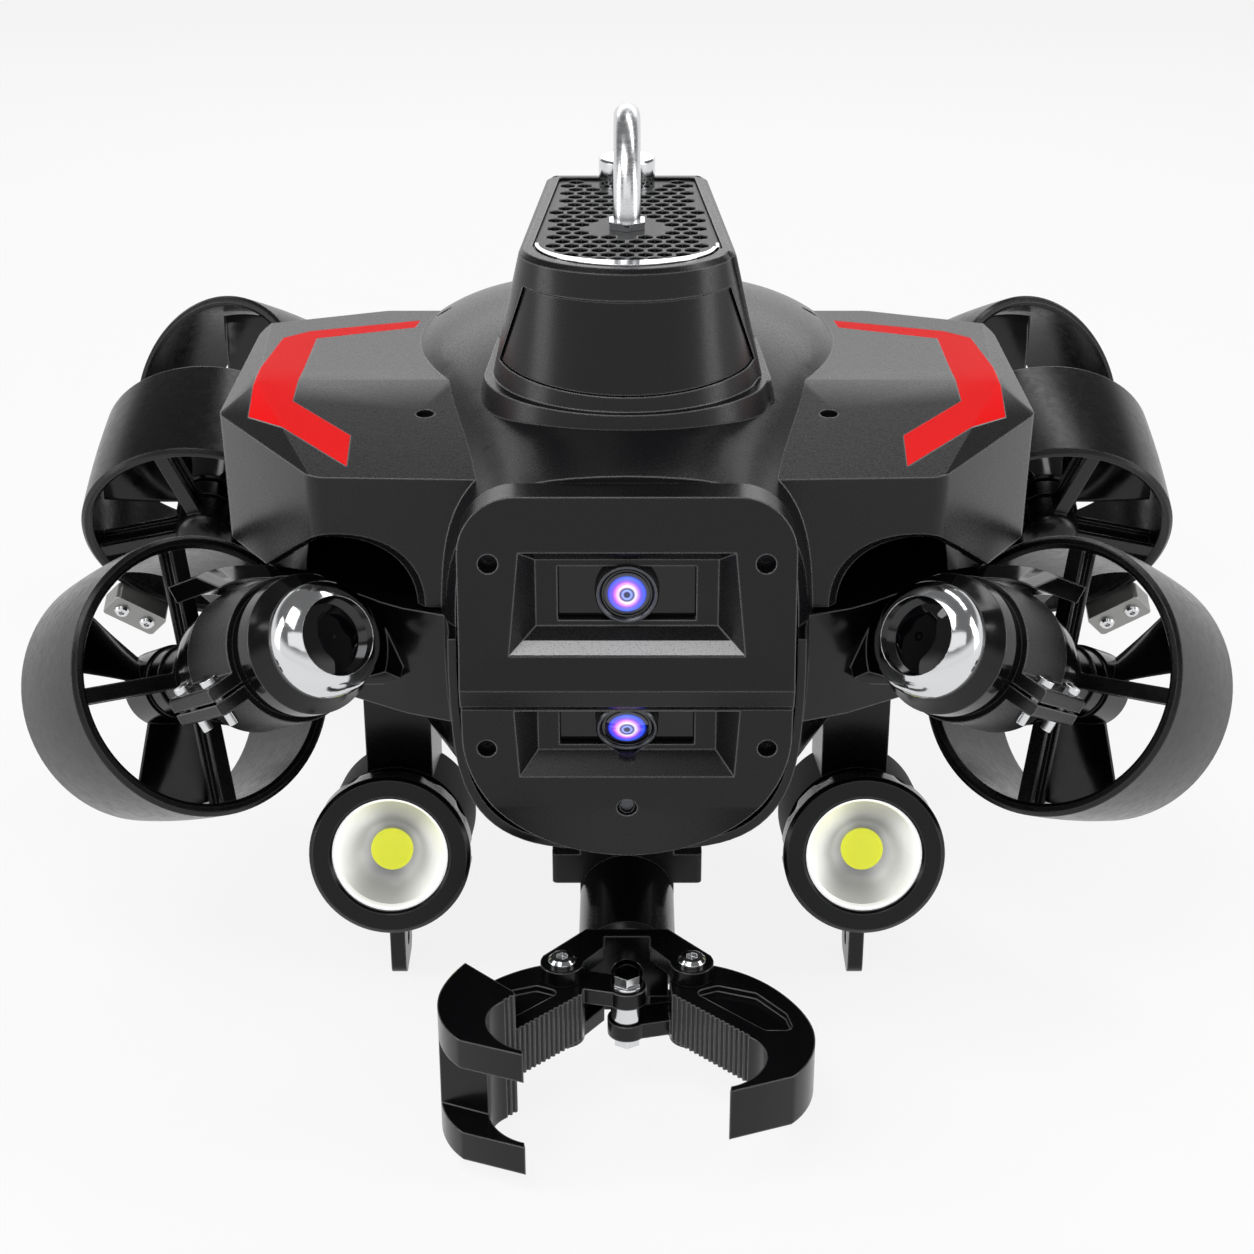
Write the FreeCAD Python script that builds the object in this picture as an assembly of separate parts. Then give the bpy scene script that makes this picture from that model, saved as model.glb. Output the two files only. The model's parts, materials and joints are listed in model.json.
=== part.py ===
import FreeCAD, Part
import math
import os

os.makedirs("parts", exist_ok=True)

# Driving dimensions in millimetres. X runs across the vehicle, Y from nose to stern and Z up
# from the floor under the feet. The nose looks along -Y. Left and right are as seen from the
# nose, so left is -X. The left side is modelled and the right side is its mirror image.

# Clearances between pieces that move and pieces that are fitted.
RUNNING_CLEARANCE = 0.05
MOVING_GAP = 0.3
SLOT_CLEARANCE = 0.25

# Hull shell. Each section gives Y, half width, lowest Z, highest Z and squareness.
HULL_WALL = 3.0
NOSE_Y = -272.0
STERN_Y = 290.0
PARTING_Z = 176.0
HULL_HALF_WIDTH = 105.0
HULL_TOP_Z = 250.0
HULL_FLOOR_Z = 66.0
HULL_SECTIONS = (
    (NOSE_Y, 62.0, 92.0, 236.0, 3.4),
    (-235.0, 70.0, 84.0, 241.0, 3.2),
    (-180.0, 92.0, 74.0, 247.0, 3.0),
    (-110.0, HULL_HALF_WIDTH, 68.0, HULL_TOP_Z, 3.0),
    (-30.0, 104.0, HULL_FLOOR_Z, 236.0, 2.8),
    (60.0, 96.0, HULL_FLOOR_Z, 204.0, 2.6),
    (150.0, 84.0, 68.0, 172.0, 2.5),
    (230.0, 72.0, 70.0, 148.0, 2.5),
    (STERN_Y, 66.0, 72.0, 136.0, 2.8),
)
SECTION_POINTS = 24

# Shoulder wings of the upper shell, as plan corners of the left wing.
WING_BOTTOM_Z = 177.0
WING_EDGE_Z = 226.0
WING_RIDGE_Z = 236.0
WING_RIDGE_Y = -172.0
WING_REAR_Z = 229.0
WING_DRAFT = 1.0
WING_SIDE_RUN = 14.0
WING_CORNER_SLOPE = (-8.4, -5.4, 16.0)
WING_CORNER_RADIUS = 9.0
WING_PLAN = ((-45.0, -249.0), (-110.0, -247.0), (-152.0, -182.0),
             (-150.0, -86.0), (-100.0, -62.0), (-45.0, -62.0))
INLAY_DEPTH = 0.8
CHEVRON_PLAN = ((-137.5, -108.0), (-128.0, -97.0), (-85.0, -79.0), (-86.0, -91.0),
                (-124.0, -109.0), (-123.0, -157.0), (-123.0, -189.0), (-99.0, -216.0),
                (-98.0, -239.0), (-139.0, -193.0), (-140.0, -158.0))

# Tower on the upper shell, with its grille and tow bail.
TOWER_BASE_Z = 236.0
TOWER_TOP_Z = 294.0
TOWER_WALL = 3.0
TOWER_BASE = {"front_half": 51.0, "rear_half": 44.0, "front": -238.0, "corner": -188.0, "rear": -76.0}
TOWER_TOP = {"front_half": 38.0, "rear_half": 31.0, "front": -226.0, "corner": -198.0, "rear": -92.0}
TOWER_CORNER_RADIUS = 7.0
TOWER_RIM = 1.6
BOW_STEPS = 16
TOWER_COLLAR = 3.0
TOWER_COLLAR_TOP_Z = 246.0
PANEL_RECESS = 0.6
PANEL_THICKNESS = 1.6
PANEL_TOP_Z = 283.0
PANEL_BOTTOM_Z = 254.0
PANEL_SAG = 2.5
PANEL_TOP_HALF = 36.0
PANEL_BOTTOM_HALF = 45.5
PANEL_GAP = 0.4
GRILLE_MARGIN = 4.5
GRILLE_LEDGE = 2.5
GRILLE_THICKNESS = 2.5
GRILLE_DROP = 1.0
GRILLE_GAP = 0.2
HEX_PITCH = 6.6
HEX_BAR = 1.2
TRIM_THICKNESS = 1.4
TRIM_WIDTH = 6.0
TRIM_END = 1.2
TRIM_GAP = 0.8
BAIL_ROD_RADIUS = 5.0
BAIL_FRONT_Y = -167.0
BAIL_REAR_Y = -104.0
BAIL_TOP_Z = 331.0
BAIL_POST_RADIUS = 9.0
BAIL_POST_FLOOR_Z = 262.0
BAIL_COLLAR_RADIUS = 11.0
BAIL_COLLAR_HEIGHT = 11.0
BAIL_HEX_WIDTH = 13.0
BAIL_HEX_HEIGHT = 3.0

# Nose panel and cameras.
PANEL_HALF_WIDTH = 57.0
NOSE_TOP_Z = 234.0
NOSE_BOTTOM_Z = 95.0
NOSE_CORNER_RADIUS = 20.0
NOSE_FRONT = ((-285.0, NOSE_TOP_Z), (-291.0, 179.0), (-294.5, 167.0), (-292.0, 160.0),
              (-288.5, 157.0), (-286.0, 118.0), (-281.0, NOSE_BOTTOM_Z))
UPPER_RECESS = {"front_half": 44.0, "back_half": 31.0, "front_low": 175.5, "front_high": 221.5,
                "back_low": 185.5, "back_high": 210.0, "window_half": 23.5,
                "window_low": 187.5, "window_high": 207.5, "back_y": -281.0}
LOWER_RECESS = {"front_half": 45.0, "back_half": 31.0, "front_low": 121.5, "front_high": 157.5,
                "back_low": 137.0, "back_high": 155.0, "window_half": 23.5,
                "window_low": 139.0, "window_high": 153.5, "back_y": -279.5}
WINDOW_THICKNESS = 2.0
CAMERA_RADIUS = 10.6
CAMERA_LENGTH = 22.0
UPPER_CAMERA_Z = 197.5
LOWER_CAMERA_Z = 146.5
LOWER_CAMERA_TILT = 18.0
CAMERA_FACE_Y = -281.5
SENSOR_Z = 117.0
SENSOR_RADIUS = 3.5
SCREW_HEAD_RADIUS = 3.3
SCREW_DEPTH = 5.0
SCREW_HEAD_HEIGHT = 2.4
NOSE_SEAT_Y = -280.0
NOSE_SCREWS = ((46.5, 211.0), (48.5, 141.5))
DECK_SCREWS = ((73.5, -199.0), (74.7, -82.0))

# Thruster ducts. Each pair has the centre of its open face and the way that face looks.
DUCT_RADIUS = 54.0
DUCT_LENGTH = 55.0
DUCT_WALL = 5.0
DUCT_TAPER = 3.0
DUCT_LIP = 1.5
THRUSTER_SEATS = {
    "front": ((-160.0, -206.0, 130.0), (0.60, -0.647, 0.468)),
    "middle": ((-187.0, -51.0, 122.0), (0.0, -0.906, -0.423)),
    "rear": ((-206.0, 104.0, 130.0), (-0.49, -0.765, 0.41)),
}
SPOKE_COUNT = 4
SPOKE_TURN = 15.0
SPOKE_WIDTH = 6.0
SPOKE_FLANGE = 2.2
SPOKE_WEB = 2.0
SPOKE_DEPTH = 11.0
SPOKE_SETBACK = 2.0
HUB_RADIUS = 13.0
HUB_DOME = 8.0
MOTOR_RADIUS = 14.0
MOTOR_LENGTH = 9.0
SHAFT_RADIUS = 3.0
SHAFT_DEPTH = 7.0
ROTOR_RADIUS = 15.0
ROTOR_LENGTH = 18.0
SPINNER_LENGTH = 9.0
BLADE_COUNT = 3
BLADE_TIP_GAP = 1.2
BLADE_ROOT_PITCH = 52.0
BLADE_TIP_PITCH = 24.0
BLADE_ROOT_CHORD = 20.0
BLADE_TIP_CHORD = 40.0
BLADE_THICKNESS = 2.6
STRUT_ROOTS = {
    "front": (-80.0, -105.0, 118.0),
    "middle": (-85.0, -26.0, 118.0),
    "rear": (-75.0, 68.0, 118.0),
}
STRUT_CHORD = 30.0
STRUT_THICKNESS = 13.0

# Sensor pods ahead of the front ducts, on the same axis.
POD_RADIUS = 24.0
POD_TAIL_RADIUS = 12.0
POD_FRONT = 88.0
POD_BEZEL_LENGTH = 12.0
POD_BEZEL_RADIUS = 20.5
POD_BAND_RISE = 1.2
POD_LENS_RADIUS = 14.0
CLAMP_START = 38.0
CLAMP_LENGTH = 30.0
CLAMP_WALL = 2.6
CLAMP_EAR_REACH = 38.0
CLAMP_EAR_THICKNESS = 5.0
CLAMP_SPLIT = 1.2
CLAMP_EAR_ANGLE = 217.0
CLAMP_SCREW_REACH = 32.5
CLAMP_SCREW_RADIUS = 2.0
CLAMP_SCREW_INSET = 5.0
CLAMP_SCREW_HEAD_RADIUS = 3.4
CLAMP_SCREW_HEAD = 2.4
CLAMP_SCREW_TAIL = 5.0
COWL_INNER_RADIUS = 29.5
COWL_OUTER_RADIUS = 36.5
COWL_START = 8.0
COWL_END = 84.0
COWL_SECTOR = (-15.0, 140.0)
SHOULDER_FLOOR_Z = 134.0
SHOULDER_PLAN = ((-50.0, -258.0), (-80.0, -246.0), (-118.0, -222.0), (-124.0, -150.0), (-50.0, -120.0))
SHELL_GAP = 1.5

# Lamps under the hull.
LAMP_CENTRE = (-92.0, -221.0, 59.0)
LAMP_TILT = 15.0
LAMP_RADIUS = 31.4
LAMP_BODY_RADIUS = 29.0
LAMP_LENGTH = 92.0
LAMP_BEZEL_DEPTH = 12.0
LAMP_APERTURE = 22.5
LAMP_REFLECTOR_DEPTH = 9.0
LAMP_LED_RADIUS = 8.0
LAMP_GRIPS = 12
LAMP_SADDLE_HALF = 13.0
SADDLE_OFFSET = 2.0
SADDLE_SETBACK = 32.0
SADDLE_LENGTH = 44.0
SADDLE_HEADROOM = 60.0

# Feet.
FOOT_THICKNESS = 6.0
FOOT_LENGTH = 26.0
FOOT_ROUNDING = 6.0
FRONT_FOOT = (-91.0, -203.0)
REAR_FOOT = (-62.0, 165.0)
FOOT_HOLE_RADIUS = 3.5
FOOT_HOLE_Z = 11.0

# Gripper, with the jaws open as in the rest position.
GRIP_Z = 33.0
GRIP_TUBE_RADIUS = 18.5
GRIP_TUBE_FRONT = -258.0
GRIP_TUBE_REAR = -60.0
BRACKET_FRONT = -208.0
BRACKET_LENGTH = 120.0
BRACKET_EAR_REACH = 11.0
BRACKET_EAR_LENGTH = 26.0
BRACKET_EAR_HEIGHT = 13.0
BRACKET_EAR_RISE = 6.0
HINGE_X = 23.7
HINGE_Y = -280.0
HINGE_BOSS_RADIUS = 8.0
HINGE_PIN_RADIUS = 3.0
REST_SWING = 14.0
JAW_HALF_HEIGHT = 10.0
FORK_HALF_HEIGHT = 25.0
FORK_GAP_HALF = 13.6
YOKE_PLATE = 6.0
ROD_RADIUS = 5.0
ROD_REAR = -205.0
ROD_TRAVEL = 20.0
TONGUE_SIZE = 7.0
TONGUE_LENGTH = 16.0
LINK_PIN_RADIUS = 2.6
TAIL_EYE_RADIUS = 7.2
RIB_COUNT = 16
RIB_RADIUS = 0.75
POCKET_DEPTH = 2.5

# Inner equipment, trim and connector.
CANISTER_RADIUS = 38.0
CANISTER_LENGTH = 190.0
CANISTER_CENTRE = (0.0, -95.0, 128.0)
BATTERY_RADIUS = 24.0
BATTERY_X = 33.0
BATTERY_Z = 102.0
BATTERY_FRONT_Y = 60.0
BATTERY_CAP_RADIUS = 27.0
BATTERY_CAP_LAP = 20.0
BATTERY_CAP_CHAMFER = 3.0
CAP_GRIPS = 10
CAP_GRIP_RADIUS = 3.0
CAP_GRIP_LENGTH = 26.0
OVERALL_REAR_Y = 350.0
RIB_THICKNESS = 4.0
RIB_STATIONS = (-165.0, -25.0, 85.0, 235.0)
RIB_TOP_Z = 125.0
TRIM_BLOCK = (14.0, 26.0, 9.0)
TRIM_ANGLE = 230.0
CONNECTOR_Y = 205.0
CONNECTOR_RADIUS = 11.0
CONNECTOR_BORE = 5.0
CONNECTOR_LENGTH = 30.0
BELLY_PAD = (44.0, 64.0, 60.0)
BELLY_PAD_Y = -20.0
BELLY_HOLE_RADIUS = 2.6
BELLY_HOLE_DEPTH = 6.0
BELLY_HOLE_X = 30.0
BELLY_HOLE_Y = 48.0


def vec(x, y, z):
    return FreeCAD.Vector(x, y, z)


def loop(points):
    """Closed polygon wire through the points."""
    return Part.makePolygon(list(points) + [points[0]])


def prism(points, travel):
    """Solid swept from the polygon through points along the vector travel."""
    return Part.Face(loop(points)).extrude(travel)


def rod(radius, start, end):
    """Round bar from start to end."""
    run = end.sub(start)
    return Part.makeCylinder(radius, run.Length, start, run)


def revolved(profile):
    """Solid of revolution about Z of a closed (radius, z) profile."""
    points = [vec(radius, 0, z) for radius, z in profile]
    return Part.Face(loop(points)).revolve(vec(0, 0, 0), vec(0, 0, 1), 360)


def axes_along(direction, towards):
    """Unit axes with Z along direction and X as near to towards as it can be."""
    z_axis = vec(*direction).normalize()
    x_axis = vec(*towards)
    x_axis = x_axis.sub(vec(*z_axis).multiply(z_axis.dot(x_axis))).normalize()
    return x_axis, z_axis.cross(x_axis), z_axis


def placed(shape, origin, direction, towards=(1, 0, 0)):
    """Shape modelled along local Z, moved to origin with its Z along direction."""
    x_axis, y_axis, z_axis = axes_along(direction, towards)
    matrix = FreeCAD.Matrix(x_axis.x, y_axis.x, z_axis.x, origin[0],
                            x_axis.y, y_axis.y, z_axis.y, origin[1],
                            x_axis.z, y_axis.z, z_axis.z, origin[2],
                            0, 0, 0, 1)
    return shape.transformed(matrix)


def mirrored(shape):
    """Mirror image of a left-hand shape, for the right side."""
    return shape.mirror(vec(0, 0, 0), vec(1, 0, 0))


def polar(radius, degrees, z=0.0):
    angle = math.radians(degrees)
    return vec(radius * math.cos(angle), radius * math.sin(angle), z)


def fused(shapes):
    """Union of the shapes with seams between coplanar faces removed."""
    first = shapes[0]
    return first.fuse(shapes[1:]).removeSplitter()


def upright_edges(solid, height):
    """Edges that climb at least the given height."""
    return [edge for edge in solid.Edges if edge.BoundBox.ZLength >= height]


def half_space_above(point, normal, size=700.0):
    """Big block on the side of the plane through point that normal points to."""
    block = Part.makeBox(size, size, size, vec(-size / 2, -size / 2, 0))
    return placed(block, point, normal)


def hull_section(y, half_width, low, high, power):
    """Superellipse across the hull: |x/a|^n + |z/b|^n = 1."""
    middle = (low + high) / 2
    half_height = (high - low) / 2
    points = []
    for step in range(SECTION_POINTS):
        angle = 2 * math.pi * (step + 0.5) / SECTION_POINTS
        cosine = math.cos(angle)
        sine = math.sin(angle)
        x = half_width * math.copysign(abs(cosine) ** (2 / power), cosine)
        z = middle + half_height * math.copysign(abs(sine) ** (2 / power), sine)
        points.append(vec(x, y, z))
    curve = Part.BSplineCurve()
    curve.interpolate(points, PeriodicFlag=True)
    return Part.Wire(curve.toShape())


def hull_form(inset, nose, stern):
    """Smooth body through the sections, inset from the outside and cut to length."""
    wires = []
    for y, half_width, low, high, power in HULL_SECTIONS:
        wires.append(hull_section(y, half_width - inset, low + inset, high - inset, power))
    body = Part.makeLoft(wires, True, False)
    if stern < STERN_Y:
        body = body.cut(half_space_above((0, stern, 0), (0, 1, 0)))
    half = body.cut(Part.makeBox(HULL_HALF_WIDTH + 10, 700, 300, vec(0, -350, 0)))
    return half.fuse(mirrored(half))


def wing_form(inset):
    """Left shoulder wing: a drafted block with a four-sided faceted roof."""
    top = Part.Wire(loop([vec(x, y, WING_RIDGE_Z) for x, y in WING_PLAN]))
    bottom = Part.Wire(loop([vec(x, y, WING_BOTTOM_Z) for x, y in WING_PLAN]))
    top = top.makeOffset2D(-inset + 0.001, 2)
    bottom = bottom.makeOffset2D(-inset - WING_DRAFT, 2)
    block = Part.makeLoft([bottom, top], True, True)
    radius = max(WING_CORNER_RADIUS - inset, 1.0)
    corners = [edge for edge in upright_edges(block, 0.9 * (WING_RIDGE_Z - WING_BOTTOM_Z))
               if edge.BoundBox.Center.x < WING_PLAN[0][0] - 30]
    block = block.makeFillet(radius, corners)
    rise = WING_RIDGE_Z - WING_EDGE_Z
    front_y = WING_PLAN[0][1]
    rear_y = WING_PLAN[-1][1]
    side_x = WING_PLAN[2][0]
    front_run = WING_RIDGE_Y - front_y
    rear_run = rear_y - WING_RIDGE_Y
    drop = vec(0, 0, -inset)
    front = half_space_above(vec(0, front_y, WING_EDGE_Z).add(drop), (0, -rise, front_run))
    rear = half_space_above(vec(0, rear_y, WING_REAR_Z).add(drop),
                            (0, WING_RIDGE_Z - WING_REAR_Z, rear_run))
    side = half_space_above(vec(side_x, 0, WING_EDGE_Z).add(drop), (-rise, 0, WING_SIDE_RUN))
    corner = WING_PLAN[1]
    slant = half_space_above(vec(corner[0], corner[1], WING_EDGE_Z).add(drop), WING_CORNER_SLOPE)
    return block.cut([front, rear, side, slant])


def pod_cylinder(radius, start, end):
    """Cylinder about the front thruster's axis, from start to end ahead of its face."""
    origin, direction = THRUSTER_SEATS["front"]
    shape = Part.makeCylinder(radius, end - start, vec(0, 0, start))
    return placed(shape, origin, direction)


def hull_body():
    """Outer hull without its wings."""
    return hull_form(0.0, NOSE_Y, STERN_Y)


def cowl():
    """Part ring round the pod, from its inboard side over its top."""
    origin, direction = THRUSTER_SEATS["front"]
    length = COWL_END - COWL_START
    start_angle, sweep = COWL_SECTOR
    ring = Part.makeCylinder(COWL_OUTER_RADIUS, length, vec(0, 0, COWL_START), vec(0, 0, 1), sweep)
    ring.rotate(vec(0, 0, 0), vec(0, 0, 1), start_angle)
    ring = ring.cut(Part.makeCylinder(COWL_INNER_RADIUS, length, vec(0, 0, COWL_START)))
    return placed(ring, origin, direction).cut(duct_envelope())


def shoulder():
    """Block under the wing that carries the cowl, hollowed round pod and duct."""
    plan = [vec(x, y, SHOULDER_FLOOR_Z) for x, y in SHOULDER_PLAN]
    block = prism(plan, vec(0, 0, PARTING_Z - SHOULDER_FLOOR_Z))
    return block.cut([pod_passage(COWL_INNER_RADIUS), duct_envelope()])


def pod_passage(radius):
    """Cylinder about the pod that runs out past both of its ends."""
    return pod_cylinder(radius, -DUCT_LENGTH, 2 * POD_FRONT)


def duct_envelope():
    """Cylinder that clears the front duct."""
    return pod_cylinder(DUCT_RADIUS + SHELL_GAP, -1.5 * DUCT_LENGTH, SHELL_GAP)


def battery_barrel(side):
    """Straight barrel of a battery tube, from inside the hull to its screw cap."""
    x = side * BATTERY_X
    return rod(BATTERY_RADIUS, vec(x, BATTERY_FRONT_Y, BATTERY_Z), vec(x, STERN_Y + BATTERY_CAP_LAP, BATTERY_Z))


def canister_solid():
    x, y, z = CANISTER_CENTRE
    return rod(CANISTER_RADIUS, vec(x, y - CANISTER_LENGTH / 2, z), vec(x, y + CANISTER_LENGTH / 2, z))


def cradle_ribs(cavity):
    """Cross ribs inside the lower shell, cut to the canister and the battery tubes."""
    ribs = []
    for y in RIB_STATIONS:
        rib = Part.makeBox(2 * HULL_HALF_WIDTH, RIB_THICKNESS, RIB_TOP_Z, vec(-HULL_HALF_WIDTH, y, 0))
        rib = rib.common(cavity)
        ribs.append(rib.cut(canister_solid()))
    barrels = [battery_barrel(side) for side in (-1, 1)]
    return [rib.cut(barrels) for rib in ribs]


def lower_shell(body, cavity):
    shell = body.fuse([shoulder(), mirrored(shoulder()), cowl(), mirrored(cowl()), belly_pad()])
    shell = shell.cut(half_space_above((0, 0, PARTING_Z), (0, 0, 1)))
    shell = shell.cut(cavity)
    shell = shell.fuse(cradle_ribs(cavity))
    return shell.cut([battery_barrel(side) for side in (-1, 1)] + belly_holes())


def belly_pad():
    """Flat pad under the belly for a skid or payload plate."""
    half_x, length, low = BELLY_PAD
    height = HULL_FLOOR_Z + HULL_WALL - low
    return Part.makeBox(2 * half_x, length, height, vec(-half_x, BELLY_PAD_Y - length / 2, low))


def belly_holes():
    holes = []
    low = BELLY_PAD[2]
    for x in (-BELLY_HOLE_X, BELLY_HOLE_X):
        for y in (-BELLY_HOLE_Y / 2, BELLY_HOLE_Y / 2):
            mouth = vec(x, BELLY_PAD_Y + y, low)
            holes.append(rod(BELLY_HOLE_RADIUS, mouth, mouth.add(vec(0, 0, BELLY_HOLE_DEPTH))))
    return holes


def chevron_inlay():
    """Coloured inlay in the roof of the left wing, following its facets."""
    outline = prism([vec(x, y, WING_BOTTOM_Z) for x, y in CHEVRON_PLAN], vec(0, 0, 80))
    skin = wing_form(0.0).cut(wing_form_lowered(INLAY_DEPTH))
    return skin.common(outline)


def wing_form_lowered(depth):
    """The wing with its roof lowered by depth and its walls as they are."""
    lowered = wing_form(0.0)
    lowered.translate(vec(0, 0, -depth))
    return lowered


def bail_posts():
    posts = []
    for y in (BAIL_FRONT_Y, BAIL_REAR_Y):
        posts.append(rod(BAIL_POST_RADIUS, vec(0, y, TOWER_BASE_Z), vec(0, y, grille_floor())))
    return posts


def bail_bores():
    return [rod(BAIL_ROD_RADIUS, vec(0, y, BAIL_POST_FLOOR_Z), vec(0, y, TOWER_TOP_Z))
            for y in (BAIL_FRONT_Y, BAIL_REAR_Y)]


def grille_floor():
    return TOWER_TOP_Z - GRILLE_DROP - GRILLE_THICKNESS


def surface_height(shape, x, y):
    """Height of a shape's top above a point of the plan."""
    plumb = Part.makeLine(vec(x, y, 0), vec(x, y, TOWER_TOP_Z))
    return shape.common(plumb).BoundBox.ZMax


def deck_screw_seats(body):
    """Seats of the deck screws on both sides, sunk below the roof of hull or wing."""
    deck = body.fuse(wing_form(0.0))
    seats = []
    for x, y in DECK_SCREWS:
        z = surface_height(deck, -x, y) - SCREW_DEPTH
        seats += [vec(-x, y, z), vec(x, y, z)]
    return seats


def upper_shell(body, cavity, inlays):
    wings = [wing_form(0.0), mirrored(wing_form(0.0))]
    inner = [wing_form(HULL_WALL), mirrored(wing_form(HULL_WALL))]
    arch = pod_passage(COWL_OUTER_RADIUS + MOVING_GAP)
    arches = [arch, mirrored(arch)]
    shell = body.fuse(wings)
    shell = shell.cut(half_space_above((0, 0, PARTING_Z), (0, 0, -1)))
    shell = shell.cut([cavity] + inner)
    shell = shell.cut(arches + inlays)
    return shell.cut([rod(SCREW_HEAD_RADIUS, seat, vec(seat.x, seat.y, TOWER_TOP_Z)) for seat in deck_screw_seats(body)])


def half_ellipse(left, front, right, side=vec(0, 1, 0)):
    """Half an ellipse by way of its foremost point, that runs on smoothly into a side on the right."""
    centre = left.add(right).multiply(0.5)
    angles = [math.radians(180 - 180 * step / BOW_STEPS) for step in range(BOW_STEPS + 1)]
    points = [centre.add(vec(*right.sub(centre)).multiply(math.cos(angle)))
              .add(vec(*front.sub(centre)).multiply(math.sin(angle))) for angle in angles]
    curve = Part.BSplineCurve()
    curve.interpolate(points, InitialTangent=vec(side.x, -side.y, 0), FinalTangent=side)
    return curve.toShape()


def tower_outline(z, inset):
    """Plan outline of the tower at height z: bowed front, straight sides and rear."""
    share = (z - TOWER_BASE_Z) / (TOWER_TOP_Z - TOWER_BASE_Z)
    size = {key: TOWER_BASE[key] + (TOWER_TOP[key] - TOWER_BASE[key]) * share for key in TOWER_BASE}
    front_half = size["front_half"] - inset
    rear_half = size["rear_half"] - inset
    corner = size["corner"] + inset
    rear = size["rear"] - inset
    left = vec(-front_half, corner, z)
    right = vec(front_half, corner, z)
    back_right = vec(rear_half, rear, z)
    front = half_ellipse(left, vec(0, size["front"] + inset, z), right, back_right.sub(right))
    back_left = vec(-rear_half, rear, z)
    sides = [Part.makeLine(right, back_right), Part.makeLine(back_right, back_left), Part.makeLine(back_left, left)]
    return Part.Wire([front] + sides)


def tower_form(low, high, inset, top_inset=None):
    """Tower body between two heights, with its rear corners rounded."""
    if top_inset is None:
        top_inset = inset
    body = Part.makeLoft([tower_outline(low, inset), tower_outline(high, top_inset)], True, True)
    radius = max(TOWER_CORNER_RADIUS - inset, 1.5)
    corners = [edge for edge in upright_edges(body, 0.9 * (high - low))
               if edge.BoundBox.YMin > TOWER_BASE["corner"] + TOWER_CORNER_RADIUS]
    return body.makeFillet(radius, corners)


def panel_window(margin):
    """Prism through the front of the tower with the front panel's outline."""
    top = PANEL_TOP_Z + margin
    low = PANEL_BOTTOM_Z - margin
    upper_half = PANEL_TOP_HALF + margin
    lower_half = PANEL_BOTTOM_HALF + margin
    y = 1.1 * TOWER_BASE["front"]
    left = vec(-lower_half, y, low)
    right = vec(lower_half, y, low)
    bottom = Part.Arc(left, vec(0, y, low - PANEL_SAG), right).toShape()
    corner_right = vec(upper_half, y, top)
    corner_left = vec(-upper_half, y, top)
    edges = [bottom, Part.makeLine(right, corner_right), Part.makeLine(corner_right, corner_left),
             Part.makeLine(corner_left, left)]
    return Part.Face(Part.Wire(edges)).extrude(vec(0, TOWER_TOP["corner"] - y, 0))


def tower_housing(body):
    rim_z = TOWER_TOP_Z - TOWER_RIM
    shell = tower_form(TOWER_BASE_Z, rim_z, 0.0).fuse(tower_form(rim_z, TOWER_TOP_Z, 0.0, TOWER_RIM))
    shell = shell.fuse(tower_form(TOWER_BASE_Z, TOWER_COLLAR_TOP_Z, -TOWER_COLLAR))
    pocket = tower_form(grille_floor(), TOWER_TOP_Z + 1, GRILLE_MARGIN)
    hollow = tower_form(TOWER_BASE_Z - 1, TOWER_TOP_Z, GRILLE_MARGIN + GRILLE_LEDGE)
    bezel = tower_form(TOWER_BASE_Z, TOWER_TOP_Z, PANEL_RECESS + PANEL_THICKNESS)
    rebate = panel_window(PANEL_GAP).cut(bezel)
    shell = shell.cut([pocket, hollow, rebate]).fuse(bail_posts())
    return shell.cut(bail_bores() + [bail_collar(), body])


def tower_front_panel():
    """Cover plate let into the tower's front, a little below its surface."""
    outer = tower_form(TOWER_BASE_Z, TOWER_TOP_Z, PANEL_RECESS)
    inner = tower_form(TOWER_BASE_Z, TOWER_TOP_Z, PANEL_RECESS + PANEL_THICKNESS)
    plate = outer.cut(inner).common(panel_window(0.0))
    return max(plate.Solids, key=lambda solid: solid.Volume)


def hexagon(x, y, z, across):
    radius = across / math.sqrt(3)
    return [vec(x, y, z).add(polar(radius, 60 * corner + 30)) for corner in range(6)]


def grille():
    """Honeycomb plate let into the tower's top, with clear pads under the bail."""
    z = grille_floor()
    plate = tower_form(z, z + GRILLE_THICKNESS, GRILLE_MARGIN + GRILLE_GAP)
    safe = tower_outline(z, GRILLE_MARGIN + HEX_PITCH / 2 + 1.2)
    safe_face = Part.Face(safe)
    holes = []
    row_pitch = HEX_PITCH * math.sqrt(3) / 2
    rows = int((TOWER_TOP["rear"] - TOWER_TOP["front"]) / row_pitch)
    columns = int(TOWER_TOP["front_half"] / HEX_PITCH) + 1
    for row in range(rows + 1):
        y = TOWER_TOP["front"] + row * row_pitch
        shift = (row % 2) * HEX_PITCH / 2
        for column in range(-columns, columns + 1):
            x = column * HEX_PITCH + shift
            pads = [math.hypot(x, y - leg) for leg in (BAIL_FRONT_Y, BAIL_REAR_Y)]
            if min(pads) > BAIL_COLLAR_RADIUS + HEX_PITCH / 2 and safe_face.isInside(vec(x, y, z), 0.01, True):
                holes.append(prism(hexagon(x, y, z - 1, HEX_PITCH - HEX_BAR), vec(0, 0, GRILLE_THICKNESS + 2)))
    return plate.cut(holes + bail_bores())


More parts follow.
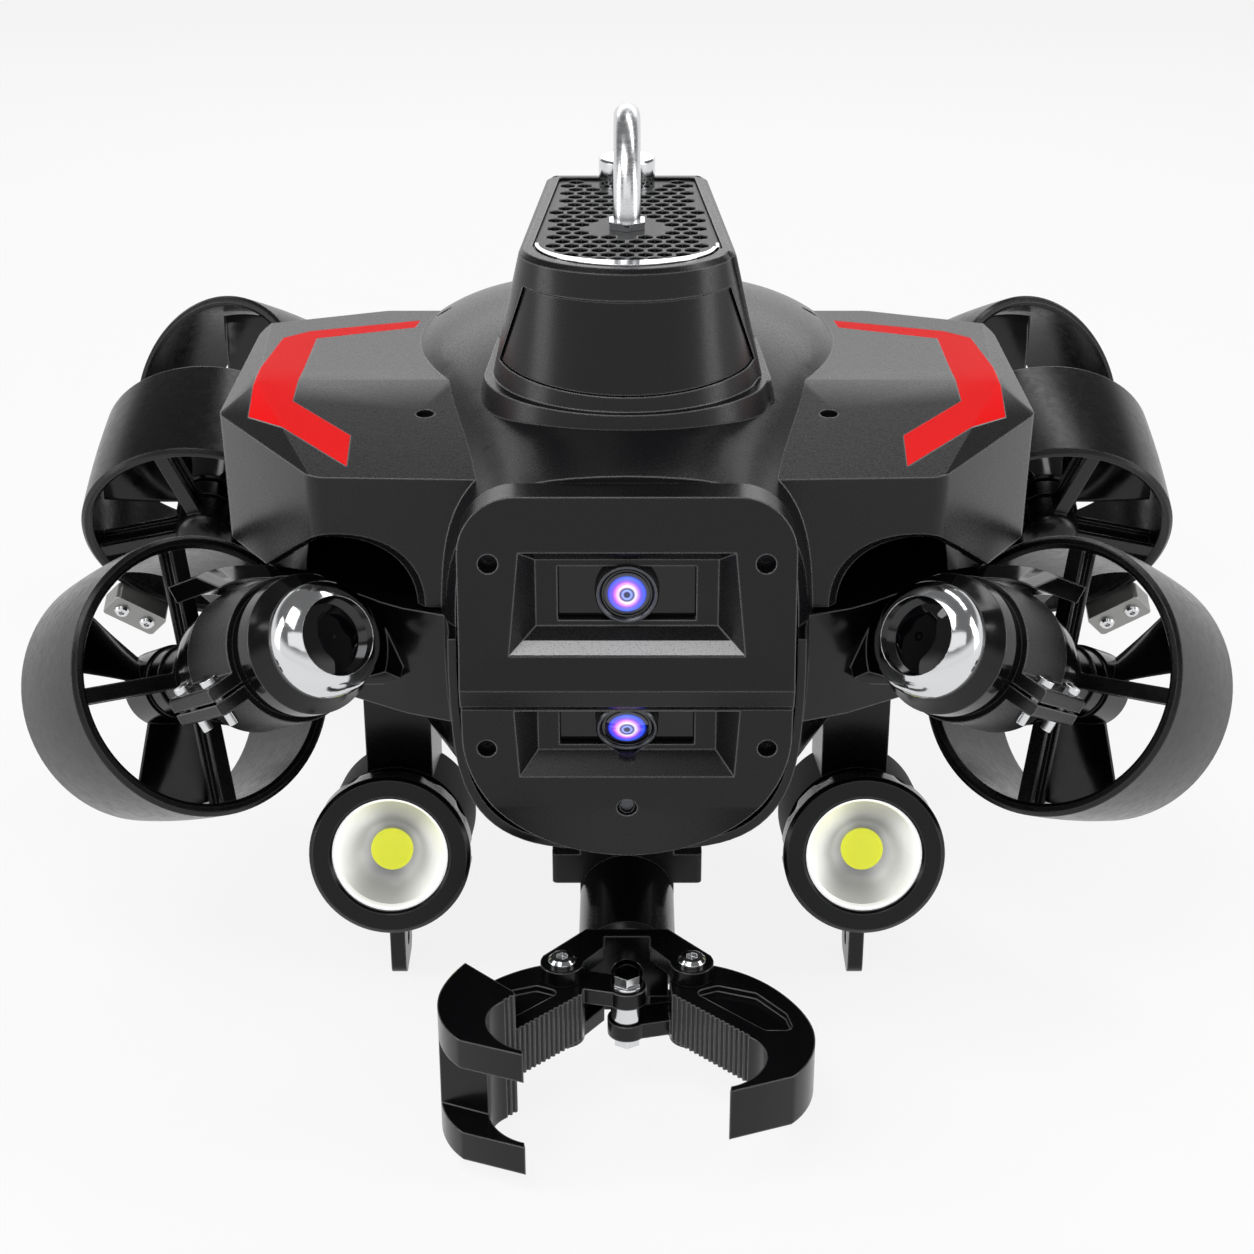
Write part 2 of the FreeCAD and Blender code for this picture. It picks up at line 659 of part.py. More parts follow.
def grille_trim():
    """Polished crescent on the front of the grille, along the tower's bow."""
    z = grille_floor() + GRILLE_THICKNESS
    margin = GRILLE_MARGIN + TRIM_GAP
    half = TOWER_TOP["front_half"] - margin
    front = TOWER_TOP["front"] + margin
    ends = TOWER_TOP["corner"] + margin
    left = vec(-half, ends, z)
    right = vec(half, ends, z)
    inner_left = left.add(vec(TRIM_END, 0, 0))
    inner_right = right.sub(vec(TRIM_END, 0, 0))
    outer = half_ellipse(left, vec(0, front, z), right)
    inner = half_ellipse(inner_left, vec(0, front + TRIM_WIDTH, z), inner_right)
    ends = [Part.makeLine(left, inner_left), Part.makeLine(inner_right, right)]
    return Part.Face(Part.Wire(Part.sortEdges([outer, inner] + ends)[0])).extrude(vec(0, 0, TRIM_THICKNESS))


def tow_bail():
    """Steel bow: a half circle on two legs, standing fore and aft in its posts."""
    radius = (BAIL_REAR_Y - BAIL_FRONT_Y) / 2
    middle = (BAIL_REAR_Y + BAIL_FRONT_Y) / 2
    spring_z = BAIL_TOP_Z - BAIL_ROD_RADIUS - radius
    front_foot = vec(0, BAIL_FRONT_Y, BAIL_POST_FLOOR_Z)
    front_top = vec(0, BAIL_FRONT_Y, spring_z)
    rear_top = vec(0, BAIL_REAR_Y, spring_z)
    rear_foot = vec(0, BAIL_REAR_Y, BAIL_POST_FLOOR_Z)
    arc = Part.Arc(front_top, vec(0, middle, spring_z + radius), rear_top).toShape()
    path = Part.Wire([Part.makeLine(front_foot, front_top), arc, Part.makeLine(rear_top, rear_foot)])
    section = Part.Wire(Part.makeCircle(BAIL_ROD_RADIUS, front_foot, vec(0, 0, 1)))
    return path.makePipeShell([section], True, False)


def bail_collar():
    z = grille_floor() + GRILLE_THICKNESS
    collar = Part.makeCylinder(BAIL_COLLAR_RADIUS, BAIL_COLLAR_HEIGHT, vec(0, BAIL_REAR_Y, z))
    return collar.makeChamfer(0.8, [edge for edge in collar.Edges if edge.BoundBox.ZMin > z + 1])


def bail_fixings():
    """Collar on the rear leg and hexagon nut on the front leg, both on the grille."""
    z = grille_floor() + GRILLE_THICKNESS
    collar = bail_collar()
    nut = prism(hexagon(0, BAIL_FRONT_Y, z, BAIL_HEX_WIDTH), vec(0, 0, BAIL_HEX_HEIGHT))
    bow = tow_bail()
    return Part.makeCompound([collar.cut(bow), nut.cut(bow)])


def nose_outline():
    """Shield outline in the XZ plane: rounded top corners and an elliptical foot."""
    half = PANEL_HALF_WIDTH
    radius = NOSE_CORNER_RADIUS
    diagonal = radius * (1 - math.sqrt(0.5))
    side_z = NOSE_BOTTOM_Z + 52.0
    y = NOSE_Y
    top = Part.makeLine(vec(-half + radius, y, NOSE_TOP_Z), vec(half - radius, y, NOSE_TOP_Z))
    right_arc = Part.Arc(vec(half - radius, y, NOSE_TOP_Z), vec(half - diagonal, y, NOSE_TOP_Z - diagonal),
                         vec(half, y, NOSE_TOP_Z - radius)).toShape()
    right = Part.makeLine(vec(half, y, NOSE_TOP_Z - radius), vec(half, y, side_z))
    foot = Part.BSplineCurve()
    points = []
    for step in range(9):
        angle = math.pi * step / 8
        x = half * math.cos(angle)
        points.append(vec(x, y, side_z - (side_z - NOSE_BOTTOM_Z) * math.sin(angle)))
    foot.interpolate(points)
    left = Part.makeLine(vec(-half, y, side_z), vec(-half, y, NOSE_TOP_Z - radius))
    left_arc = Part.Arc(vec(-half, y, NOSE_TOP_Z - radius), vec(-half + diagonal, y, NOSE_TOP_Z - diagonal),
                        vec(-half + radius, y, NOSE_TOP_Z)).toShape()
    return Part.Wire([top, right_arc, right, foot.toShape(), left, left_arc])


def rectangle_at(y, half, low, high):
    return loop([vec(-half, y, low), vec(half, y, low), vec(half, y, high), vec(-half, y, high)])


def camera_recess(size):
    """Funnel-shaped recess with a window opening through to the hull."""
    front_y = NOSE_FRONT[2][0] - 1.0
    wide = rectangle_at(front_y, size["front_half"], size["front_low"], size["front_high"])
    narrow = rectangle_at(size["back_y"], size["back_half"], size["back_low"], size["back_high"])
    funnel = Part.makeLoft([wide, narrow], True, True)
    half = size["window_half"]
    height = size["window_high"] - size["window_low"]
    depth = NOSE_Y - size["back_y"] + 2
    window = Part.makeBox(2 * half, depth, height, vec(-half, size["back_y"] - 1, size["window_low"]))
    return funnel.fuse(window)


def camera_axis(z, tilt):
    angle = math.radians(tilt)
    return vec(0, CAMERA_FACE_Y, z), vec(0, -math.cos(angle), -math.sin(angle))


def camera_module(z, tilt):
    """Camera barrel with a coned front ring and a domed lens."""
    radius = CAMERA_RADIUS
    rim = radius - 1.2
    lens = radius - 3.0
    profile = [(0, -CAMERA_LENGTH), (radius, -CAMERA_LENGTH), (radius, -0.6), (radius - 0.6, 0), (rim, 0),
               (lens, -2.2), (lens * 0.8, -1.3), (lens * 0.45, -0.7), (0, -0.5)]
    origin, direction = camera_axis(z, tilt)
    return placed(revolved(profile), origin, direction)


def camera_barrel(z, tilt):
    """Plain cylinder that a camera barrel takes up."""
    origin, direction = camera_axis(z, tilt)
    return placed(Part.makeCylinder(CAMERA_RADIUS, CAMERA_LENGTH + 10, vec(0, 0, -CAMERA_LENGTH)), origin, direction)


def camera_window(size, z, tilt):
    """Dark cover glass behind the recess, with a hole for the camera barrel."""
    half = size["window_half"]
    height = size["window_high"] - size["window_low"]
    y = size["back_y"] + 3
    glass = Part.makeBox(2 * half, WINDOW_THICKNESS, height, vec(-half, y, size["window_low"]))
    return glass.cut(camera_barrel(z, tilt))


def nose_panel():
    side = [vec(-PANEL_HALF_WIDTH, y, z) for y, z in NOSE_FRONT]
    side += [vec(-PANEL_HALF_WIDTH, NOSE_Y, NOSE_BOTTOM_Z), vec(-PANEL_HALF_WIDTH, NOSE_Y, NOSE_TOP_Z)]
    profile = prism(side, vec(2 * PANEL_HALF_WIDTH, 0, 0))
    shield = Part.Face(nose_outline()).extrude(vec(0, NOSE_Y / 4, 0))
    panel = profile.common(shield)
    panel = panel.cut([camera_recess(UPPER_RECESS), camera_recess(LOWER_RECESS)])
    cuts = [camera_barrel(UPPER_CAMERA_Z, 0.0), camera_barrel(LOWER_CAMERA_Z, LOWER_CAMERA_TILT)]
    for seat in nose_screw_seats():
        cuts.append(rod(SCREW_HEAD_RADIUS, vec(seat.x, 1.1 * NOSE_Y, seat.z), seat))
    cuts.append(rod(SENSOR_RADIUS, vec(0, 1.1 * NOSE_Y, SENSOR_Z), vec(0, NOSE_SEAT_Y, SENSOR_Z)))
    return panel.cut(cuts)


def nose_screw_seats():
    return [vec(side * x, NOSE_SEAT_Y, z) for x, z in NOSE_SCREWS for side in (-1, 1)]


def button_screw(radius, length):
    """Button-head screw along Z with a hexagon socket, its seat at z = 0."""
    profile = [(0, -length), (radius * 0.55, -length), (radius * 0.55, 0), (radius, 0), (radius, radius * 0.25),
               (radius * 0.75, radius * 0.55), (0, radius * 0.6)]
    screw = revolved(profile)
    socket = prism(hexagon(0, 0, radius * 0.15, radius * 0.75), vec(0, 0, radius))
    return screw.cut(socket)


def shell_screws(body):
    """Screw heads at the bottom of their holes in the nose panel and the deck."""
    head = Part.makeCylinder(SCREW_HEAD_RADIUS, SCREW_HEAD_HEIGHT)
    socket = hexagon(0, 0, SCREW_HEAD_HEIGHT / 2, SCREW_HEAD_RADIUS)
    head = head.cut(prism(socket, vec(0, 0, SCREW_HEAD_HEIGHT)))
    screws = [placed(head, seat, (0, -1, 0)) for seat in nose_screw_seats()]
    screws += [placed(head, seat, (0, 0, 1)) for seat in deck_screw_seats(body)]
    return Part.makeCompound(screws)


def depth_sensor():
    profile = [(0, 0), (SENSOR_RADIUS, 0), (SENSOR_RADIUS, 4.0), (SENSOR_RADIUS - 1.0, 4.6),
               (SENSOR_RADIUS - 1.4, 3.0), (0, 3.0)]
    return placed(revolved(profile), (0, NOSE_SEAT_Y, SENSOR_Z), (0, -1, 0))


def duct_ring():
    """Thruster duct about Z, open face at z = 0, with a softly tapered barrel."""
    bore = DUCT_RADIUS - DUCT_WALL
    rear = -DUCT_LENGTH
    barrel_front = vec(DUCT_RADIUS, 0, -DUCT_LIP)
    barrel_back = vec(DUCT_RADIUS - DUCT_TAPER, 0, rear)
    barrel_middle = vec(DUCT_RADIUS - 0.25 * DUCT_TAPER, 0, rear / 2)
    edges = [
        Part.makeLine(vec(bore, 0, rear), vec(bore, 0, -DUCT_LIP)),
        Part.makeLine(vec(bore, 0, -DUCT_LIP), vec(bore + DUCT_LIP, 0, 0)),
        Part.makeLine(vec(bore + DUCT_LIP, 0, 0), vec(DUCT_RADIUS - DUCT_LIP, 0, 0)),
        Part.makeLine(vec(DUCT_RADIUS - DUCT_LIP, 0, 0), barrel_front),
        Part.Arc(barrel_front, barrel_middle, barrel_back).toShape(),
        Part.makeLine(barrel_back, vec(bore, 0, rear)),
    ]
    return Part.Face(Part.Wire(edges)).revolve(vec(0, 0, 0), vec(0, 0, 1), 360)


def spoke():
    """I-section arm from the hub to the duct wall, along X."""
    inner = HUB_RADIUS - 2
    reach = DUCT_RADIUS - DUCT_WALL / 2 - inner
    top = -SPOKE_SETBACK
    flange = Part.makeBox(reach, SPOKE_WIDTH, SPOKE_FLANGE, vec(inner, -SPOKE_WIDTH / 2, top - SPOKE_FLANGE))
    lower = flange.copy()
    lower.translate(vec(0, 0, SPOKE_FLANGE - SPOKE_DEPTH))
    web = Part.makeBox(reach, SPOKE_WEB, SPOKE_DEPTH, vec(inner, -SPOKE_WEB / 2, top - SPOKE_DEPTH))
    return flange.fuse([lower, web])


def stator_parts(row):
    """Spokes with hub that brace a duct, its face plain where a pod stands on it."""
    pieces = [Part.makeCylinder(HUB_RADIUS, SPOKE_DEPTH, vec(0, 0, -SPOKE_SETBACK - SPOKE_DEPTH))]
    if row != "front":
        cap = Part.makeSphere(HUB_RADIUS)
        stretch = FreeCAD.Matrix()
        stretch.scale(1, 1, HUB_DOME / HUB_RADIUS)
        cap = cap.transformGeometry(stretch)
        cap = cap.cut(half_space_above((0, 0, 0), (0, 0, -1)))
        cap.translate(vec(0, 0, -SPOKE_SETBACK))
        pieces.append(cap)
    for index in range(SPOKE_COUNT):
        arm = spoke()
        arm.rotate(vec(0, 0, 0), vec(0, 0, 1), SPOKE_TURN + index * 360 / SPOKE_COUNT)
        pieces.append(arm)
    return pieces


def flip_if_rear(shape, row):
    """In the rear ducts the stator sits at the far end, so the parts face the other way."""
    if row == "rear":
        return shape.rotated(vec(0, 0, -DUCT_LENGTH / 2), vec(1, 0, 0), 180)
    return shape


def motor_top():
    return -SPOKE_SETBACK - SPOKE_DEPTH


def motor():
    """Motor can bolted behind the hub, with the bearing bore for the rotor shaft."""
    top = motor_top()
    low = top - MOTOR_LENGTH
    bore = SHAFT_RADIUS + RUNNING_CLEARANCE
    profile = [(0, top), (MOTOR_RADIUS, top), (MOTOR_RADIUS, low + 1.5), (MOTOR_RADIUS - 1.5, low), (bore, low),
               (bore, low + SHAFT_DEPTH + MOVING_GAP), (0, low + SHAFT_DEPTH + MOVING_GAP)]
    return revolved(profile)


def blade_section(radius, chord, pitch):
    """Lens-shaped blade section on the plane at the given radius along X."""
    half = chord / 2
    camber = BLADE_THICKNESS / 2
    outline = []
    for along, across in ((-half, 0), (0, camber), (half, 0), (0, -camber)):
        angle = math.radians(pitch)
        y = along * math.cos(angle) - across * math.sin(angle)
        z = along * math.sin(angle) + across * math.cos(angle)
        outline.append(vec(radius, y, z))
    lead, back, trail, face = outline
    return Part.Wire([Part.Arc(lead, back, trail).toShape(), Part.Arc(trail, face, lead).toShape()])


def propeller():
    """Rotor with its shaft stub, hub, spinner and twisted blades."""
    top = motor_top() - MOTOR_LENGTH - MOVING_GAP
    low = top - ROTOR_LENGTH
    tip = DUCT_RADIUS - DUCT_WALL - BLADE_TIP_GAP
    profile = [(0, top + SHAFT_DEPTH), (SHAFT_RADIUS, top + SHAFT_DEPTH), (SHAFT_RADIUS, top),
               (ROTOR_RADIUS - 1, top), (ROTOR_RADIUS, top - 1), (ROTOR_RADIUS, low),
               (ROTOR_RADIUS * 0.8, low - SPINNER_LENGTH * 0.6), (ROTOR_RADIUS * 0.4, low - SPINNER_LENGTH * 0.92),
               (0, low - SPINNER_LENGTH)]
    hub = revolved(profile)
    stations = 4
    wires = []
    for station in range(stations):
        share = station / (stations - 1)
        radius = ROTOR_RADIUS * 0.6 + (tip + 2 - ROTOR_RADIUS * 0.6) * share
        chord = BLADE_ROOT_CHORD + (BLADE_TIP_CHORD - BLADE_ROOT_CHORD) * share
        pitch = BLADE_ROOT_PITCH + (BLADE_TIP_PITCH - BLADE_ROOT_PITCH) * share
        wires.append(blade_section(radius, chord, pitch))
    blade = Part.makeLoft(wires, True, False)
    blade.translate(vec(0, 0, (top + low) / 2))
    blade = blade.common(Part.makeCylinder(tip, 80, vec(0, 0, (top + low) / 2 - 40)))
    pieces = [hub]
    for index in range(BLADE_COUNT):
        copy = blade.copy()
        copy.rotate(vec(0, 0, 0), vec(0, 0, 1), index * 360 / BLADE_COUNT + 40)
        pieces.append(copy)
    return pieces[0].fuse(pieces[1:])


def strut(row, body):
    """Streamlined arm from a duct's wall to the hull, its chord along the duct."""
    origin, direction = THRUSTER_SEATS[row]
    centre = vec(*origin).sub(vec(*direction).normalize().multiply(DUCT_LENGTH / 2))
    run = vec(*STRUT_ROOTS[row]).sub(centre)
    section = Part.Ellipse(vec(0, 0, 0), STRUT_CHORD / 2, STRUT_THICKNESS / 2).toShape()
    arm = Part.Face(Part.Wire(section)).extrude(vec(0, 0, run.Length - DUCT_RADIUS + DUCT_WALL))
    arm.translate(vec(0, 0, DUCT_RADIUS - DUCT_WALL))
    arm = placed(arm, centre, run, direction)
    bore = placed(Part.makeCylinder(DUCT_RADIUS - DUCT_WALL / 2, 3 * DUCT_LENGTH, vec(0, 0, -2 * DUCT_LENGTH)),
                  origin, direction)
    return arm.cut([bore, body])


def thruster(row, body):
    """Duct with stator and strut, motor and propeller of one left-hand thruster."""
    origin, direction = THRUSTER_SEATS[row]
    braces = [flip_if_rear(piece, row) for piece in stator_parts(row)]
    duct = duct_ring().fuse(braces)
    duct = placed(duct, origin, direction)
    outer = min(strut(row, body).Solids, key=lambda solid: solid.BoundBox.XMin)
    duct = duct.fuse(outer)
    can = placed(flip_if_rear(motor(), row), origin, direction)
    rotor = placed(flip_if_rear(propeller(), row), origin, direction)
    return duct, can, rotor


def pod_body():
    """Pod housing about Z, from its foot on the hub to the seat of its bezel."""
    foot = -SPOKE_SETBACK
    r = POD_RADIUS
    profile_points = [(0, foot), (POD_TAIL_RADIUS, foot), (POD_TAIL_RADIUS, 6), (r * 0.75, 12), (r * 0.92, 20),
                      (r, 30), (r, POD_FRONT - 16), (r + POD_BAND_RISE, POD_FRONT - 14),
                      (r + POD_BAND_RISE, POD_FRONT - 7), (r - 1, POD_FRONT - 4), (POD_BEZEL_RADIUS, POD_FRONT),
                      (0, POD_FRONT)]
    return revolved(profile_points)


def pod_bezel():
    """Polished domed ring on the front of the pod."""
    outer = vec(POD_BEZEL_RADIUS, 0, POD_FRONT)
    inner = vec(POD_LENS_RADIUS, 0, POD_FRONT + POD_BEZEL_LENGTH)
    middle = vec(POD_BEZEL_RADIUS - 1.6, 0, POD_FRONT + POD_BEZEL_LENGTH * 0.7)
    edges = [
        Part.Arc(outer, middle, inner).toShape(),
        Part.makeLine(inner, vec(POD_LENS_RADIUS, 0, POD_FRONT)),
        Part.makeLine(vec(POD_LENS_RADIUS, 0, POD_FRONT), outer),
    ]
    return Part.Face(Part.Wire(edges)).revolve(vec(0, 0, 0), vec(0, 0, 1), 360)


def pod_lens():
    low = POD_FRONT
    high = POD_FRONT + POD_BEZEL_LENGTH - 2.5
    profile = [(0, low), (POD_LENS_RADIUS, low), (POD_LENS_RADIUS, high - 1.5), (POD_LENS_RADIUS * 0.6, high - 0.3),
               (0, high)]
    return revolved(profile)


def pod_clamp():
    """Split ring round the pod with a pair of ears, closed by two screws."""
    ring_radius = POD_RADIUS + CLAMP_WALL
    ring = Part.makeCylinder(ring_radius, CLAMP_LENGTH, vec(0, 0, CLAMP_START))
    half_ear = CLAMP_EAR_THICKNESS + CLAMP_SPLIT / 2
    ears = Part.makeBox(CLAMP_EAR_REACH, 2 * half_ear, CLAMP_LENGTH, vec(0, -half_ear, CLAMP_START))
    ears = ears.makeFillet(2.0, [edge for edge in upright_edges(ears, CLAMP_LENGTH * 0.9)
                                 if edge.BoundBox.Center.x > 1])
    split = Part.makeBox(CLAMP_EAR_REACH + 2, CLAMP_SPLIT, CLAMP_LENGTH + 2, vec(0, -CLAMP_SPLIT / 2, CLAMP_START - 1))
    bore = Part.makeCylinder(POD_RADIUS, CLAMP_LENGTH + 2, vec(0, 0, CLAMP_START - 1))
    for part in (ears, split):
        part.rotate(vec(0, 0, 0), vec(0, 0, 1), CLAMP_EAR_ANGLE)
    holes = [rod(CLAMP_SCREW_RADIUS, *ends) for ends in clamp_screw_ends()]
    return ring.fuse(ears).cut([bore, split] + holes)


def clamp_screw_ends():
    """Points on the two outer faces of the ears, for each clamp screw."""
    half_ear = CLAMP_EAR_THICKNESS + CLAMP_SPLIT / 2
    across = polar(half_ear, CLAMP_EAR_ANGLE - 90)
    ends = []
    for z in (CLAMP_START + CLAMP_SCREW_INSET, CLAMP_START + CLAMP_LENGTH - CLAMP_SCREW_INSET):
        middle = polar(CLAMP_SCREW_REACH, CLAMP_EAR_ANGLE, z)
        ends.append((middle.sub(across), middle.add(across)))
    return ends


def clamp_screws():
    """Clamp screws with a round head at one ear and a plain end beyond the other."""
    screws = []
    for low, high in clamp_screw_ends():
        along = high.sub(low).normalize()
        tail = low.sub(vec(*along).multiply(CLAMP_SCREW_TAIL))
        head = rod(CLAMP_SCREW_HEAD_RADIUS, high, high.add(vec(*along).multiply(CLAMP_SCREW_HEAD)))
        screws.append(rod(CLAMP_SCREW_RADIUS, tail, high).fuse(head))
    return screws


def lamp_direction():
    angle = math.radians(LAMP_TILT)
    return (0.0, -math.cos(angle), math.sin(angle))


def lamp_body():
    """Lamp housing about Z, its face at z = 0 and its tail behind."""
    r = LAMP_BODY_RADIUS
    seat = -LAMP_BEZEL_DEPTH
    cup = seat - 2.0
    rear = -LAMP_LENGTH
    profile = [(0, cup), (LAMP_APERTURE, cup), (LAMP_APERTURE, seat + 6), (LAMP_APERTURE + 3, seat + 6),
               (LAMP_APERTURE + 3, seat), (r, seat), (r, seat - 8), (r - 1.5, seat - 9.5), (r - 1.5, seat - 13),
               (r, seat - 14.5), (r, rear + 22), (r - 3, rear + 20), (r - 3, rear + 10), (r - 7, rear + 2), (r - 10, rear),
               (0, rear)]
    return revolved(profile)


def lamp_bezel():
    """Screwed ring round the lamp's face with finger grips cut in its rim."""
    seat = -LAMP_BEZEL_DEPTH
    profile = [(LAMP_APERTURE + 3, seat), (LAMP_RADIUS, seat), (LAMP_RADIUS, -1.5), (LAMP_RADIUS - 1.5, 0),
               (LAMP_APERTURE + 1, 0), (LAMP_APERTURE, -1.0), (LAMP_APERTURE, -2.0), (LAMP_APERTURE + 3, -2.0)]
    ring = revolved(profile)
    grips = []
    for index in range(LAMP_GRIPS):
        centre = polar(LAMP_RADIUS + 9.0, index * 360 / LAMP_GRIPS, seat - 1)
        grips.append(Part.makeCylinder(10.0, LAMP_BEZEL_DEPTH - 3, centre))
    return ring.cut(grips)


def lamp_reflector():
    """Conical reflector cup with a flat floor for the light source."""
    cup = -LAMP_BEZEL_DEPTH - 2.0
    rim = LAMP_APERTURE
    floor = cup + 2.0
    profile = [(0, cup), (rim, cup), (rim, -4.2), (rim - 1.2, -4.2), (LAMP_LED_RADIUS + 1.5, floor), (0, floor)]
    return revolved(profile)


def lamp_led():
    floor = -LAMP_BEZEL_DEPTH
    profile = [(0, floor), (LAMP_LED_RADIUS, floor), (LAMP_LED_RADIUS, floor + 1.6), (LAMP_LED_RADIUS - 1, floor + 2.2),
               (0, floor + 2.6)]
    return revolved(profile)


def lamp_glass():
    return Part.makeCylinder(LAMP_APERTURE, 1.8, vec(0, 0, -4.2))


def lamp_cylinder(overrun):
    """The space that a lamp's barrel takes up, longer at both ends by overrun."""
    barrel = Part.makeCylinder(LAMP_BODY_RADIUS, LAMP_LENGTH + 2 * overrun, vec(0, 0, -LAMP_LENGTH - overrun))
    return placed(barrel, LAMP_CENTRE, lamp_direction())


def lamp_saddle(body):
    """Block between the lamp's back and the hull's flank."""
    x, y, z = LAMP_CENTRE
    height = PARTING_Z - SADDLE_HEADROOM - z
    corner = vec(x + SADDLE_OFFSET - LAMP_SADDLE_HALF, y + SADDLE_SETBACK, z)
    block = Part.makeBox(2 * LAMP_SADDLE_HALF, SADDLE_LENGTH, height, corner)
    block = block.cut([lamp_cylinder(LAMP_LENGTH), body, duct_envelope()])
    return max(block.Solids, key=lambda solid: solid.BoundBox.ZMax)


def foot_plate(x, y, top, hole_z):
    """Plate foot in the YZ plane with rounded lower corners and a tie hole."""
    plate = Part.makeBox(FOOT_THICKNESS, FOOT_LENGTH, top, vec(x - FOOT_THICKNESS / 2, y - FOOT_LENGTH / 2, 0))
    lower = [edge for edge in plate.Edges if edge.BoundBox.ZMax < 0.01 and edge.BoundBox.XLength > 1]
    plate = plate.makeFillet(FOOT_ROUNDING, lower)
    hole = rod(FOOT_HOLE_RADIUS, vec(x - FOOT_THICKNESS, y, hole_z), vec(x + FOOT_THICKNESS, y, hole_z))
    return plate.cut(hole)


def feet(body):
    """Front feet under the lamps and rear feet under the hull's tail."""
    x, y = FRONT_FOOT
    front = foot_plate(x, y, LAMP_CENTRE[2], FOOT_HOLE_Z).cut(lamp_cylinder(0.0))
    front = min(front.Solids, key=lambda solid: solid.BoundBox.ZMin)
    x, y = REAR_FOOT
    rear = foot_plate(x, y, PARTING_Z, 2 * FOOT_HOLE_Z).cut(body)
    rear = min(rear.Solids, key=lambda solid: solid.BoundBox.ZMin)
    return Part.makeCompound([front, mirrored(front), rear, mirrored(rear)])


def gripper_tube():
    """Actuator housing with a stepped front cap and the guide bore of the push rod."""
    front = vec(0, GRIP_TUBE_FRONT, GRIP_Z)
    rear = vec(0, GRIP_TUBE_REAR, GRIP_Z)
    barrel = rod(GRIP_TUBE_RADIUS, front, rear)
    ends = [edge for edge in barrel.Edges if edge.BoundBox.YLength < 0.1]
    barrel = barrel.makeChamfer(2.0, ends)
    bore_end = ROD_REAR + ROD_TRAVEL + MOVING_GAP
    bore = rod(ROD_RADIUS + RUNNING_CLEARANCE, vec(0, GRIP_TUBE_FRONT - 1, GRIP_Z), vec(0, bore_end, GRIP_Z))
    return barrel.cut(bore)


def gripper_bracket(body):
    """Cradle between the hull's belly and the actuator housing, with two flanged ears."""
    half = GRIP_TUBE_RADIUS
    cradle = Part.makeBox(2 * half, BRACKET_LENGTH, PARTING_Z - GRIP_Z, vec(-half, BRACKET_FRONT, GRIP_Z))
    ear_z = GRIP_Z + BRACKET_EAR_RISE
    ears = Part.makeBox(2 * (half + BRACKET_EAR_REACH), BRACKET_EAR_LENGTH, BRACKET_EAR_HEIGHT,
                        vec(-half - BRACKET_EAR_REACH, BRACKET_FRONT, ear_z))
    ears = ears.makeFillet(2.0, upright_edges(ears, BRACKET_EAR_HEIGHT - 1))
    tube = rod(GRIP_TUBE_RADIUS, vec(0, GRIP_TUBE_FRONT, GRIP_Z), vec(0, GRIP_TUBE_REAR, GRIP_Z))
    block = cradle.fuse(ears).cut([tube, body, belly_pad()])
    return max([solid for solid in block.Solids if solid.BoundBox.ZMin < ear_z], key=lambda solid: solid.Volume)


def yoke_plan():
    """Plan outline of one yoke plate: a V of two arms with round hinge bosses."""
    root_half = GRIP_TUBE_RADIUS - 3
    back = GRIP_TUBE_FRONT
    notch_half = 8.5
    notch_back = GRIP_TUBE_FRONT - 5
    hinge_x = HINGE_X
    hinge_y = HINGE_Y
    r = HINGE_BOSS_RADIUS
    right = [(root_half, back), (hinge_x + r * 0.9, hinge_y + 4), (hinge_x + r, hinge_y), (hinge_x - r, hinge_y),
             (notch_half, hinge_y + 10), (notch_half, notch_back)]
    left = [(-x, y) for x, y in reversed(right)]
    return right + left


def gripper_yoke():
    """Fork block on the housing's front: two V plates joined by a back wall."""
    low = GRIP_Z - JAW_HALF_HEIGHT - MOVING_GAP - YOKE_PLATE
    high = GRIP_Z + JAW_HALF_HEIGHT + MOVING_GAP
    pieces = []
    for z in (low, high):
        plate = prism([vec(x, y, z) for x, y in yoke_plan()], vec(0, 0, YOKE_PLATE))
        bosses = [Part.makeCylinder(HINGE_BOSS_RADIUS, YOKE_PLATE, vec(x, HINGE_Y, z)) for x in (-HINGE_X, HINGE_X)]
        pieces.append(plate.fuse(bosses))
    root_half = GRIP_TUBE_RADIUS - 3
    wall = Part.makeBox(2 * root_half, 5, high + YOKE_PLATE - low, vec(-root_half, GRIP_TUBE_FRONT - 5, low))
    yoke = pieces[0].fuse([pieces[1], wall])
    passage = rod(ROD_RADIUS + 1.0, vec(0, GRIP_TUBE_FRONT - 8, GRIP_Z), vec(0, GRIP_TUBE_FRONT + 1, GRIP_Z))
    holes = [rod(HINGE_PIN_RADIUS, vec(x, HINGE_Y, low - 1), vec(x, HINGE_Y, high + YOKE_PLATE + 1))
             for x in (-HINGE_X, HINGE_X)]
    return yoke.cut([passage] + holes)


def jaw_pins():
    """Hinge pins, each with a domed head above the yoke."""
    low = GRIP_Z - JAW_HALF_HEIGHT - MOVING_GAP - YOKE_PLATE
    top = GRIP_Z + JAW_HALF_HEIGHT + MOVING_GAP + YOKE_PLATE
    pins = []
    for x in (-HINGE_X, HINGE_X):
        profile = [(0, low), (HINGE_PIN_RADIUS, low), (HINGE_PIN_RADIUS, top), (5.2, top), (5.2, top + 1.2),
                   (4.0, top + 2.4), (0, top + 2.6)]
        pin = revolved(profile)
        pin = pin.cut(prism(hexagon(0, 0, top + 1.0, 4.0), vec(0, 0, 3)))
        pin.translate(vec(x, HINGE_Y, 0))
        pins.append(pin)
    return Part.makeCompound(pins)


def link_pin_y():
    """Rest position of the link pin, set by the jaws' swing."""
    return HINGE_Y - HINGE_X * math.tan(math.radians(REST_SWING))


